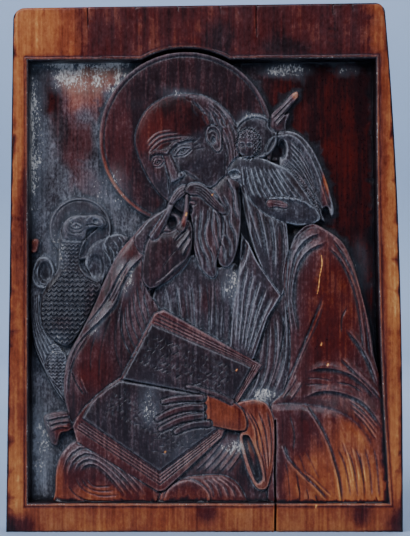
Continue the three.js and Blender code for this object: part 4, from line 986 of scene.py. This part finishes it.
def paint_figure():
    """Rubbed and redder where hands reach the figure: each patch moves the wear and the dirt."""
    broken = 0.85 + 0.3 * uneven(7, 52, 1.6)
    for centre, across, up, worn, dirty, strength in (
        ((70, 214), 13, 22, 0.16, 0.95, 0.9), ((66, 180), 7, 32, 0.2, 0.8, 0.8),
        ((86, 150), 18, 66, 0.36, 0.05, 0.9), ((101, 168), 30, 66, 0.4, 0.0, 0.95),
        ((110, 110), 26, 12, 0.34, 0.15, 0.6), ((112, 60), 34, 46, 0.72, 0.1, 0.8),
        ((118, 32), 40, 26, 0.94, 0.05, 0.9), ((80, 36), 30, 34, 0.62, 0.1, 0.8),
        ((84, 76), 24, 16, 0.46, 0.2, 0.7), ((14, 90), 14, 10, 0.6, 0.1, 0.5),
        ((-84, 122), 20, 30, 0.38, 0.1, 0.9), ((-60, 192), 12, 10, 0.34, 0.2, 0.8),
        ((-84, 172), 10, 22, 0.32, 0.2, 0.8), ((-58, 216), 10, 14, 0.34, 0.2, 0.8),
        ((-90, 36), 26, 20, 0.4, 0.3, 0.8), ((-109, 32), 9, 32, 0.54, 0.15, 0.9),
        ((-70, 25), 60, 15, 0.62, 0.15, 0.85), ((-50, 30), 24, 14, 0.36, 0.2, 0.7),
        ((0, 25), 32, 12, 0.5, 0.2, 0.8), ((20, 55), 12, 12, 0.5, 0.3, 0.6),
        ((2, 176), 14, 18, 0.3, 0.3, 0.7), ((-14, 168), 8, 20, 0.28, 0.4, 0.6),
        ((-108, 158), 12, 10, 0.3, 0.3, 0.7), ((-20, 88), 16, 10, 0.32, 0.3, 0.7),
        ((-108, 76), 9, 10, 0.42, 0.1, 0.8), ((48, 130), 12, 24, 0.3, 0.35, 0.7),
        ((40, 240), 8, 22, 0.26, 0.4, 0.6), ((58, 214), 5, 26, 0.34, 0.2, 0.7),
        ((-38, 290), 20, 30, 0.36, 0.1, 0.5), ((72, 262), 14, 20, 0.22, 0.5, 0.6),
        ((92, 262), 5, 26, 0.62, 0.0, 0.9), ((38, 70), 12, 26, 0.6, 0.2, 0.8),
        ((90, 30), 44, 20, 0.7, 0.05, 0.6), ((100, 50), 44, 26, 0.66, 0.1, 0.6),
    ):
        rub(worn, dirty, soft(centre, across, up) * strength * broken)
    # The halo's left rim: paler, partly wear and partly a painted highlight
    rim = tent(HALO_AWAY - HALO_RADIUS + 1.6, 1.6) * ease(-30, -60, GRID_X) * ease(9, 7, relief)
    rub(0.52, 0.1, 0.9 * rim)
    dim = soft((-14, 112), 60, 50) * ease(10, 11, relief) * ease(13.1, 12.9, relief)
    rub(0.17, None, 0.6 * dim)


def paint_chips():
    """Bare wood in each chip: the wear rises to 1 and past it, so that it stays bright."""
    for run, width in CHIPS:
        part, x, z = window(run, width)
        rub(1.1, 0, ease(0.55 * width, 0.25 * width, reach_along(run, x, z)[0]), part)


def paint_dust_and_painted_light():
    """White dust and old wax: thick in the upper left corner, and caught on ledges and in corners. It
    also holds painted light: a pale line along the lip all round the field, which is a painted
    highlight, and a whiter strip on the floor by the left wall that lifts the wall's shadow.
    """
    spread = np.zeros(GRID_X.shape)
    for centre, across, up, strength in (
        # The oval at (-131, 296) along the left wall is white crust, laid whiter by the wall as painted
        # light that lifts the wall's shadow
        ((-90, 344), 46, 18, 0.95), ((-131, 296), 13, 90, 0.95), ((-90, 354), 58, 9, 1.15),
        ((-66, 340), 16, 20, 1.05), ((62, 350), 26, 8, 1.0), ((108, 350), 14, 6, 0.6),
        ((-78, 256), 20, 22, 0.5), ((-112, 214), 14, 24, 0.6), ((20, 188), 10, 20, 0.9),
        ((46, 103), 20, 8, 1.0),
        ((-42, 96), 11, 22, 0.7), ((-60, 192), 11, 20, 0.8), ((22, 64), 24, 10, 0.8),
        ((-112, 140), 14, 16, 0.6), ((-124, 66), 12, 44, 0.75), ((36, 314.5), 14, 3.5, 0.8),
        ((-52, 330), 16, 12, 0.5), ((-24, 332), 24, 5, 0.6), ((-67, 258), 14, 26, 0.6),
        ((-4, 60), 46, 30, 0.3), ((64, 276), 10, 8, 0.5), ((-82, 160), 8, 20, 0.6),
        ((-96, 230), 30, 30, 0.45), ((118, 200), 10, 30, 0.3), ((100, 96), 40, 10, 0.25),
    ):
        spread = np.maximum(spread, strength * soft(centre, across, up))
    spread = spread * (1 - ease(2, 5, relief) * ease(310, 330, GRID_Z) * ease(-20, -40, GRID_X))
    # Dust on the halo's left rim, which is also a painted highlight
    rim = 0.9 * tent(HALO_AWAY - HALO_RADIUS, 0.9) * ease(-30, -60, GRID_X) * ease(330, 300, GRID_Z)
    spread = np.maximum(spread, rim * ease(8.6, 7.6, relief))
    inward = opening_depth()
    # A pale line along the lip all round the field: a painted highlight
    lip = 0.8 * tent(inward + 0.9, 0.9)
    return np.maximum(spread * ease(-0.5, 1.2, inward), lip)


# What the material reads on the back and the sides, where there is no carving
PLAIN_LAYERS = {"stain": 0.42, "dirt_and_painted_light": 0.0, "veil": 0.3, "pale": 0.0, "dust_and_painted_light": 0.0}


def finish_layers():
    """The numbers that the wood's material reads: stain, from black-red at 0 to bare wood at 1, dirt
    in the cuts and on ledges together with painted light, the thin veil of dirt, how pale the dirt
    is, and white dust with a painted highlight along the lip. A cut lies below the mean height round
    it and a crest above it. Crests get pale lines, partly rubbed edges and partly a painted
    highlight. Dust lies where the surface faces up, and the paler colour there is also a painted
    sheen of the light from above. Deep cuts, and the cuts in the floor, get darker dirt: a painted
    shadow line round the forms."""
    below = blurred(relief, 2.4) - relief
    cut = np.clip(1.4 * below - 0.06, 0, 1)
    shallow = cut * ease(1.5, 0.6, below) * ease(0.8, 2.0, relief)
    # Crests: pale lines that are partly rubbed edges and partly a painted highlight
    crest = np.clip((relief - blurred(relief, 1.1)) * 4.6 - 0.22, 0, 1)
    # Slopes that face up: partly dust and partly a painted sheen of the light from above
    falling = blurred(np.clip(-np.gradient(relief, STEP, axis=0), 0, 1.2), 1.2)
    facing_up_dust_and_sheen = np.clip(falling - 0.2, 0, 1) * (0.04 + 0.55 * grime)
    inside = ease(1.5, 3.5, opening_depth())
    dusty = 0.2 * ease(20, -20, GRID_X) + 0.3 * soft((-126, 62), 12, 44)
    floor = ease(1.6, 0.4, relief) * inside * dusty
    dirt_and_painted_light = np.maximum(cut * (0.55 + 0.45 * grime), np.maximum(0.75 * crest * grime, facing_up_dust_and_sheen))
    stained = wear - 0.28 * cut + 0.24 * crest * wear
    # Darker dirt in deep cuts and in the floor's cuts: a painted shadow line round the forms
    pale = 0.46 * crest + 0.22 * facing_up_dust_and_sheen + 0.3 * shallow * ease(0.1, 0.7, grime) - 0.2 * (cut - shallow)
    return {"stain": stained, "dirt_and_painted_light": dirt_and_painted_light * inside, "veil": grime, "dust_and_painted_light": paint_dust_and_painted_light(),
            "pale": pale * inside + floor - 0.15 * (1 - inside)}


paint_figure()
paint_field()
paint_border()
paint_chips()
LAYERS = finish_layers()

# The plank's outline, and the rows and columns of the mesh

EDGE_ROUND = 2.0
BACK_ROUND = 1.2
SLANT_START = 316
TRIANGLES = 190000
SHARP_ANGLE = 50
# Where each band of rows ends, up the board, and how far apart its rows are
ROW_BANDS = ((2.6, 0.3), (18.5, 1.0), (24, 0.4), (350, 0.5), (366, 0.4), (396, 1.0), (400, 0.25))
# How many columns each band across the front has, and where its straight ones begin and end
COLUMN_COUNTS = (9, 14, 15, 8, 492, 30, 15, 8, 9)
STRAIGHT_LEFT = -128.0
STRAIGHT_RIGHT = 118.0
# The bands at each wall reach this far out over the border and in over the field
WALL_OUT = 3.5
WALL_IN = 1.5
LEAST_BAND = 0.4
SIDE_COLUMNS = 9
# The back's columns, with two close together at each end for its round edges
BACK_SHARES = np.concatenate([[0.001, 0.003], np.linspace(0, 1, 33)[1:-1], [0.997, 0.999]])
BACK_WAVE = 0.12


def spaced(first, *bands):
    """Positions along a line: each band gives where it ends and its spacing."""
    line = [np.array([float(first)])]
    for end, spacing in bands:
        count = max(1, round(abs(end - line[-1][-1]) / spacing))
        line.append(np.linspace(line[-1][-1], end, count + 1)[1:])
    return np.concatenate(line)


def plank_ends(rows):
    """The left and right ends of each row: the sides, drawn in along a circle at the top corners."""
    def drawn_in(radius):
        above = np.clip(rows - (BOARD_HEIGHT - radius), 0, radius)
        return radius - np.sqrt(radius ** 2 - above ** 2)
    return plank_left(rows) + drawn_in(TOP_LEFT_ROUND), plank_right(rows) - drawn_in(TOP_RIGHT_ROUND)


def inside_plank(x, z):
    """Distance inside the plank's outline, measured to the nearest side or round corner."""
    inward = np.minimum(np.minimum(x - plank_left(z), plank_right(z) - x), np.minimum(z, BOARD_HEIGHT - z))
    for side, radius in ((-1, TOP_LEFT_ROUND), (1, TOP_RIGHT_ROUND)):
        edge = plank_left(BOARD_HEIGHT) if side < 0 else plank_right(BOARD_HEIGHT)
        away = (x - (edge - side * radius)) * side
        above = z - (BOARD_HEIGHT - radius)
        corner = (away > 0) & (above > 0)
        inward = np.where(corner, np.minimum(inward, radius - np.hypot(away, above)), inward)
    return np.maximum(inward, 0)


def rounding(inward, radius):
    """How far a quarter-round edge falls back at a distance inside the outline."""
    return radius * (1 - np.sqrt(1 - tent(inward, radius) ** 2))


def slanted(x, rows):
    """The height of a point of a row: rows sink evenly to TOP_FALL at the top's left end."""
    left, right = plank_left(BOARD_HEIGHT), plank_right(BOARD_HEIGHT)
    share = np.clip((right - x) / (right - left), 0, 1)
    return rows - TOP_FALL * share * np.clip((rows - SLANT_START) / (BOARD_HEIGHT - SLANT_START), 0, 1)


def sampled(values, x, z):
    """The grid's value at any point, blended from the four cells round it."""
    u = np.clip((x - ACROSS[0]) / STEP, 0, len(ACROSS) - 1.001)
    v = np.clip((z - UP[0]) / STEP, 0, len(UP) - 1.001)
    column, row = u.astype(int), v.astype(int)
    low = mix(values[row, column], values[row, column + 1], u - column)
    high = mix(values[row + 1, column], values[row + 1, column + 1], u - column)
    return mix(low, high, v - row)


def plank_columns(rows):
    """The X of every front vertex: bands run along both edges and both walls, and between them the
    columns are straight and as fine as the grid of heights."""
    left, right = plank_ends(rows)
    stops = [left, left + EDGE_ROUND + 0.5]
    stops.append(np.maximum(field_left(rows) - WALL_OUT, stops[-1] + LEAST_BAND))
    stops.append(np.maximum(field_left(rows) + WALL_IN, stops[-1] + LEAST_BAND))
    stops.append(np.full(rows.shape, STRAIGHT_LEFT))
    ends = [right, right - EDGE_ROUND - 0.5]
    ends.append(np.minimum(field_right(rows) + WALL_OUT, ends[-1] - LEAST_BAND))
    ends.append(np.minimum(field_right(rows) - WALL_IN, ends[-1] - LEAST_BAND))
    ends.append(np.full(rows.shape, STRAIGHT_RIGHT))
    stops = np.stack(stops + ends[::-1], 1)
    parts = []
    for band, count in enumerate(COLUMN_COUNTS):
        share = np.linspace(0, 1, count + 1)[(0 if band == 0 else 1):]
        parts.append(stops[:, band, None] + share * (stops[:, band + 1, None] - stops[:, band, None]))
    return np.concatenate(parts, 1)


def close_ends(ring_x, back_x):
    """Triangles over the foot and the top: every point of the sides and the front is joined to the
    nearest of the back's columns that isn't to its right, or to the last one where there is none."""
    high, wide = ring_x.shape
    near = wide - back_x.shape[1]
    caps = []
    for row, turned in ((0, False), (high - 1, True)):
        partner = np.searchsorted(-back_x[row], -ring_x[row, :near], side="left")
        partner = np.minimum.accumulate(np.clip(partner, 0, back_x.shape[1] - 1))
        first, second = np.arange(near - 1), np.arange(1, near)
        strips = [np.stack([second, first, near + partner[:-1]], 1)]
        for index in np.nonzero(partner[1:] != partner[:-1])[0]:
            for back in range(partner[index], partner[index + 1], -1):
                strips.append([[near + back, near + back - 1, index + 1]])
        triangles = np.concatenate([np.asarray(strip) for strip in strips])
        caps.append((triangles[:, ::-1] if turned else triangles) + row * wide)
    return np.concatenate(caps)


def wrap_board():
    """The whole board as one closed tube: each row is a ring that runs up the left side, across the
    carved front, down the right side and back along the flat back. Triangles close both ends."""
    rows = spaced(0, *ROW_BANDS)
    front_x = plank_columns(rows)
    row_grid = np.broadcast_to(rows[:, None], front_x.shape)
    front_z = slanted(front_x, row_grid)
    edge_round = EDGE_ROUND + 0.5 * sampled(uneven(14, 51), front_x, front_z)
    fall = rounding(inside_plank(front_x, row_grid), edge_round)
    front_y = -BOARD_THICKNESS / 2 + FIELD_DEPTH - sampled(relief, front_x, front_z) + fall
    left, right = front_x[:, :1], front_x[:, -1:]
    back_y = BOARD_THICKNESS / 2
    back_edge = np.full_like(left, back_y - BACK_ROUND)
    share = np.linspace(0, 1, SIDE_COLUMNS + 1)[:-1]
    left_side_y = mix(back_edge, front_y[:, :1], share)
    right_side_y = mix(front_y[:, -1:], back_edge, 1 - share[::-1])
    back_x = mix(right, left, BACK_SHARES)
    back_rows = np.broadcast_to(rows[:, None], back_x.shape)
    swell = BACK_WAVE * np.sin(back_x / 11 + 1.3 * np.sin(back_rows / 70)) - BACK_WAVE
    flat_y = back_y + swell - rounding(inside_plank(back_x, back_rows), BACK_ROUND)
    ring_x = np.concatenate([np.broadcast_to(left, left_side_y.shape), front_x,
                             np.broadcast_to(right, right_side_y.shape), back_x], 1)
    ring_y = np.concatenate([left_side_y, front_y, right_side_y, flat_y], 1)
    ring_z = slanted(ring_x, np.broadcast_to(rows[:, None], ring_x.shape))
    points = np.stack([ring_x, ring_y, ring_z], 2) / 1000
    high, wide = ring_x.shape
    first = np.arange(high - 1)[:, None] * wide
    corner = first + np.arange(wide)[None, :]
    beside = first + np.roll(np.arange(wide), -1)[None, :]
    quads = np.stack([corner, beside, beside + wide, corner + wide], 2).reshape(-1, 4)
    return points.reshape(-1, 3), quads, close_ends(ring_x, back_x)


def add_object(name, data):
    """An object for a mesh, a camera or a light, linked to the scene."""
    thing = bpy.data.objects.new(name, data)
    bpy.context.scene.collection.objects.link(thing)
    return thing


def thinned(piece, target):
    """The piece's mesh with its flat places thinned out to about the target number of triangles."""
    piece.data.calc_loop_triangles()
    thin = piece.modifiers.new("thin", "DECIMATE")
    thin.ratio = target / len(piece.data.loop_triangles)
    thin.use_collapse_triangulate = True
    seen = piece.evaluated_get(bpy.context.evaluated_depsgraph_get())
    mesh = bpy.data.meshes.new_from_object(seen)
    piece.modifiers.remove(thin)
    return mesh


def carved_board_piece():
    points, quads, caps = wrap_board()
    mesh = bpy.data.meshes.new("relief_board")
    mesh.from_pydata(points, [], quads.tolist() + caps.tolist())
    mesh.validate()
    piece = add_object("relief_board", mesh)
    piece.data = thinned(piece, TRIANGLES)
    bpy.data.meshes.remove(mesh)
    mesh = piece.data
    mesh.name = "relief_board"
    mesh.shade_smooth()
    mesh.set_sharp_from_angle(angle=math.radians(SHARP_ANGLE))
    at = np.empty(len(mesh.vertices) * 3)
    mesh.vertices.foreach_get("co", at)
    x, y, z = (at.reshape(-1, 3) * 1000).T
    front = ease(2, -2, y)
    for name, values in LAYERS.items():
        layer = mesh.attributes.new(name, "FLOAT", "POINT")
        level = mix(PLAIN_LAYERS[name], sampled(values, x, z), front)
        layer.data.foreach_set("value", level.astype(np.float32))
    return piece


# Materials


def linear(colour):
    """An sRGB hex colour as the linear red, green, blue and alpha that nodes take."""
    parts = [int(colour[at:at + 2], 16) / 255 for at in (1, 3, 5)]
    return [part / 12.92 if part <= 0.04045 else ((part + 0.055) / 1.055) ** 2.4 for part in parts] + [1]


def new_material(name):
    """A material with an empty node tree but for its output."""
    material = bpy.data.materials.new(name)
    material.use_nodes = True
    for node in list(material.node_tree.nodes):
        if node.type != "OUTPUT_MATERIAL":
            material.node_tree.nodes.remove(node)
    return material


def add(material, kind, values, output=0, stops=(), **settings):
    """Adds a node with its settings and a ramp's stops, gives each input its value or links it to
    another node's output, and returns the node's own output."""
    node = material.node_tree.nodes.new("ShaderNode" + kind)
    for key, setting in settings.items():
        setattr(node, key, setting)
    for number, (at, colour) in enumerate(stops):
        stop = node.color_ramp.elements[number] if number < 2 else node.color_ramp.elements.new(at)
        stop.position = at
        stop.color = linear(colour)
    for key, value in values.items():
        if isinstance(value, bpy.types.NodeSocket):
            material.node_tree.links.new(value, node.inputs[key])
        else:
            node.inputs[key].default_value = value
    return node.outputs[output]


def finished(material, shader):
    """Links the shader to the material's output."""
    material.node_tree.links.new(shader, material.node_tree.nodes["Material Output"].inputs["Surface"])
    return material


# Noises of the wood: the size of a grain in millimetres, how much longer it is up the board, its
# detail and its roughness. Growth rings of old pine stand 1 mm apart and are drawn 2.3 mm apart, and
# specks of dust of a fifth of a millimetre are drawn 1.3 mm across, so that they show.
WOOD_NOISES = (
    ("streak", 2.3, 30, 3, 0.5), ("broad_streak", 8, 12, 3, 0.5), ("cloud", 24, 1.3, 5, 0.6),
    ("mottle", 5, 1.6, 4, 0.65), ("fine", 1.5, 1.6, 3, 0.65), ("speck", 1.3, 1.6, 2, 0.6),
    ("patches", 8, 2.2, 5, 0.7),
)


def stained_softwood():
    """Old pine under dark red spirit stain and a thin varnish: the stain is rubbed through where the
    wood stands proud, grey dirt lies in the cuts, darker in the deep ones as painted shade, pale
    lines of painted highlight and sheen lie on crests and slopes that face up, and the grain runs up
    the board as fine streaks."""
    material = new_material("old_stained_softwood")
    place = add(material, "TexCoord", {}, "Object")
    layer = {name: add(material, "Attribute", {}, "Fac", attribute_name=name) for name in PLAIN_LAYERS}
    grain = {}
    for name, size, long, detail, rough in WOOD_NOISES:
        scale = (1000 / size, 1000 / size, 1000 / (size * long))
        mapped = add(material, "Mapping", {"Vector": place, "Scale": scale})
        grain[name] = add(material, "TexNoise", {"Vector": mapped, "Scale": 1.0, "Detail": detail,
                                                 "Roughness": rough})
    # The stain's tone: every noise moves it up and down by its share
    tone = layer["stain"]
    for name, share in (("streak", 0.38), ("broad_streak", 0.16), ("cloud", 0.34), ("mottle", 0.26),
                        ("fine", 0.22)):
        tone = add(material, "Math", {0: grain[name], 1: share, 2: tone}, operation="MULTIPLY_ADD")
    tone = add(material, "Math", {0: tone, 1: 0.68}, operation="SUBTRACT")
    wood = add(material, "ValToRGB", {"Fac": tone}, stops=(
        (0.0, "#0b0406"), (1.0, "#d8a058"), (0.2, "#200809"), (0.4, "#470f09"), (0.6, "#7d381c"),
        (0.8, "#a66331"),
    ))
    # Dirt and painted light: dirt in the cuts and on ledges, with painted shade in the deep cuts and a
    #     # painted highlight and sheen on crests and slopes that face up, and elsewhere a veil of dirt
    #     # broken up by the clouds and mottles
    veil = add(material, "Math", {0: grain["cloud"], 1: 1.7, 2: -0.8}, operation="MULTIPLY_ADD")
    veil = add(material, "Math", {0: grain["mottle"], 1: 1.0, 2: veil}, operation="MULTIPLY_ADD")
    veil = add(material, "Math", {0: veil, 1: layer["veil"]}, operation="MULTIPLY", use_clamp=True)
    dirt_and_painted_light = add(material, "Math", {0: layer["dirt_and_painted_light"], 1: veil}, operation="MAXIMUM")
    pale = add(material, "Math", {0: grain["fine"], 1: 1.1, 2: -0.52}, operation="MULTIPLY_ADD")
    pale = add(material, "Math", {0: grain["streak"], 1: 0.7, 2: pale}, operation="MULTIPLY_ADD")
    pale = add(material, "Math", {0: pale, 1: layer["pale"]}, operation="ADD")
    # The ramp's dark end is also painted shade in deep cuts, and its pale end a painted highlight and
    # sheen
    dirt_and_painted_light_colour = add(material, "ValToRGB", {"Fac": pale}, stops=(
        (0.0, "#141317"), (1.0, "#a3a5a8"), (0.42, "#3a3b42"),
    ))
    share = add(material, "Math", {0: dirt_and_painted_light, 1: 0.82}, operation="MULTIPLY", use_clamp=True)
    coloured = add(material, "Mix", {0: share, 6: wood, 7: dirt_and_painted_light_colour}, 2, data_type="RGBA")
    # A dull film, beige to grey, under the white specks. Both come where the dust layer is high, and
    #     # that layer also holds the painted highlight along the lip and the painted light by the left
    #     wall.
    film = add(material, "Math", {0: grain["patches"], 1: 3.0, 2: -0.75}, operation="MULTIPLY_ADD")
    film = add(material, "Math", {0: film, 1: layer["dust_and_painted_light"]}, operation="MULTIPLY", use_clamp=True)
    film_colour = add(material, "ValToRGB", {"Fac": layer["stain"]}, stops=(
        (0.28, "#5c5f64"), (0.46, "#8a7262"),
    ))
    share = add(material, "Math", {0: film, 1: 0.7}, operation="MULTIPLY")
    coloured = add(material, "Mix", {0: share, 6: coloured, 7: film_colour}, 2, data_type="RGBA")
    level = add(material, "Math", {0: grain["patches"], 1: 1.1, 2: -0.17}, operation="MULTIPLY_ADD")
    level = add(material, "Math", {0: level, 1: layer["dust_and_painted_light"], 2: grain["speck"]},
                operation="MULTIPLY_ADD")
    white = add(material, "Math", {0: level, 1: 7.0, 2: -5.75}, operation="MULTIPLY_ADD", use_clamp=True)
    white_colour = add(material, "ValToRGB", {"Fac": grain["fine"]}, stops=(
        (0.3, "#7a7671"), (0.7, "#dcd0c0"),
    ))
    share = add(material, "Math", {0: white, 1: 0.85}, operation="MULTIPLY")
    coloured = add(material, "Mix", {0: share, 6: coloured, 7: white_colour}, 2, data_type="RGBA")
    # Dirt and dust are matt, and the varnish between them is satin
    matt = add(material, "Math", {0: dirt_and_painted_light, 1: white}, operation="MAXIMUM", use_clamp=True)
    rough = add(material, "Math", {0: matt, 1: 0.34, 2: 0.2}, operation="MULTIPLY_ADD")
    rough = add(material, "Math", {0: grain["fine"], 1: 0.2, 2: rough}, operation="MULTIPLY_ADD")
    height = add(material, "Math", {0: grain["fine"], 1: 0.5, 2: white}, operation="MULTIPLY_ADD")
    height = add(material, "Math", {0: grain["streak"], 1: 0.7, 2: height}, operation="MULTIPLY_ADD")
    bump = add(material, "Bump", {"Height": height, "Strength": 0.5, "Distance": 0.0007})
    shader = add(material, "BsdfPrincipled", {
        "Base Color": coloured, "Roughness": rough, "Normal": bump, "IOR": 1.47, "Specular IOR Level": 0.2,
        "Coat Weight": 0.05, "Coat Roughness": 0.15,
    })
    return finished(material, shader)


def studio_paint():
    """Pale matt paint, as on a studio's floor and wall."""
    material = new_material("pale_matt_paint")
    place = add(material, "TexCoord", {}, "Object")
    cloud = add(material, "TexNoise", {"Vector": place, "Scale": 3.3, "Detail": 2})
    colour = add(material, "ValToRGB", {"Fac": cloud}, stops=((0.3, "#9db1ca"), (0.7, "#a1b5cd")))
    shader = add(material, "BsdfPrincipled", {"Base Color": colour, "Roughness": 0.85})
    return finished(material, shader)


# The stage, the camera and the lights


def studio_floor():
    """A floor that turns up into a wall well behind the board, in one quarter circle."""
    turn = np.linspace(0, math.pi / 2, 25)
    radius, front, behind, wide, tall = 0.4, -2.4, 3.1, 3.4, 2.8
    y = np.concatenate([[front], behind + radius * np.sin(turn), [behind + radius]])
    z = np.concatenate([[0.0], radius * (1 - np.cos(turn)), [tall]])
    x = np.linspace(-wide, wide, 13)
    grid = np.stack(np.broadcast_arrays(x[None, :], y[:, None], z[:, None]), 2).reshape(-1, 3)
    corner = (np.arange(len(y) - 1)[:, None] * len(x) + np.arange(len(x) - 1)).reshape(-1)
    faces = np.stack([corner, corner + 1, corner + len(x) + 1, corner + len(x)], 1)
    mesh = bpy.data.meshes.new("studio_floor")
    mesh.from_pydata(grid, [], faces.tolist())
    mesh.shade_smooth()
    mesh.materials.append(studio_paint())
    add_object("studio_floor", mesh)


# The picture is 536 pixels high, and each shows 0.755 mm of the board
PIXEL = 0.755
VIEW_HEIGHT = 536 * PIXEL
VIEW_CENTRE = (0.4, 199.5)
CAMERA_AWAY = 1600
SENSOR = 24


def set_camera():
    camera = bpy.data.cameras.new("camera")
    camera.sensor_fit = "VERTICAL"
    camera.sensor_height = SENSOR
    camera.lens = SENSOR * CAMERA_AWAY / VIEW_HEIGHT
    holder = add_object("camera", camera)
    holder.location = (VIEW_CENTRE[0] / 1000, -(BOARD_THICKNESS / 2 + CAMERA_AWAY) / 1000,
                       VIEW_CENTRE[1] / 1000)
    holder.rotation_euler = (math.pi / 2, 0, 0)
    bpy.context.scene.camera = holder


def add_light(name, place, aim, size, power, colour):
    """A light panel at a place in metres, turned to face its aim, with its two sides and its watts."""
    light = bpy.data.lights.new(name, "AREA")
    light.shape = "RECTANGLE"
    light.size, light.size_y = size
    light.energy = power
    light.color = linear(colour)[:3]
    holder = add_object(name, light)
    away = np.array(place) - np.array(aim)
    across = math.hypot(away[0], away[1])
    holder.location = place
    holder.rotation_euler = (math.atan2(across, away[2]), 0, math.atan2(away[0], -away[1]))


def set_lights():
    middle = (0, 0, 0.2)
    add_light("window", (-1.3, -1.4, 1.3), middle, (0.8, 0.8), 40, "#eef2ff")
    add_light("above", (-0.1, -1.3, 1.6), middle, (1.8, 0.6), 33, "#dbe7ff")
    add_light("fill", (1.6, -1.0, 0.7), middle, (0.8, 1.2), 6, "#f2f2ff")
    add_light("wall", (0, 1.9, 2.5), (0, 3.5, 0.4), (3.4, 0.6), 94, "#eef3ff")
    add_light("behind", (1.3, 1.3, 1.4), middle, (0.9, 0.9), 14, "#eef2ff")
    world = bpy.data.worlds.new("room")
    world.use_nodes = True
    world.node_tree.nodes["Background"].inputs[0].default_value = linear("#c3cfdd")
    world.node_tree.nodes["Background"].inputs[1].default_value = 0.09
    bpy.context.scene.world = world


board = carved_board_piece()
board.data.materials.append(stained_softwood())
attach(board, "root")
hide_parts("carved_board")
studio_floor()
set_camera()
set_lights()
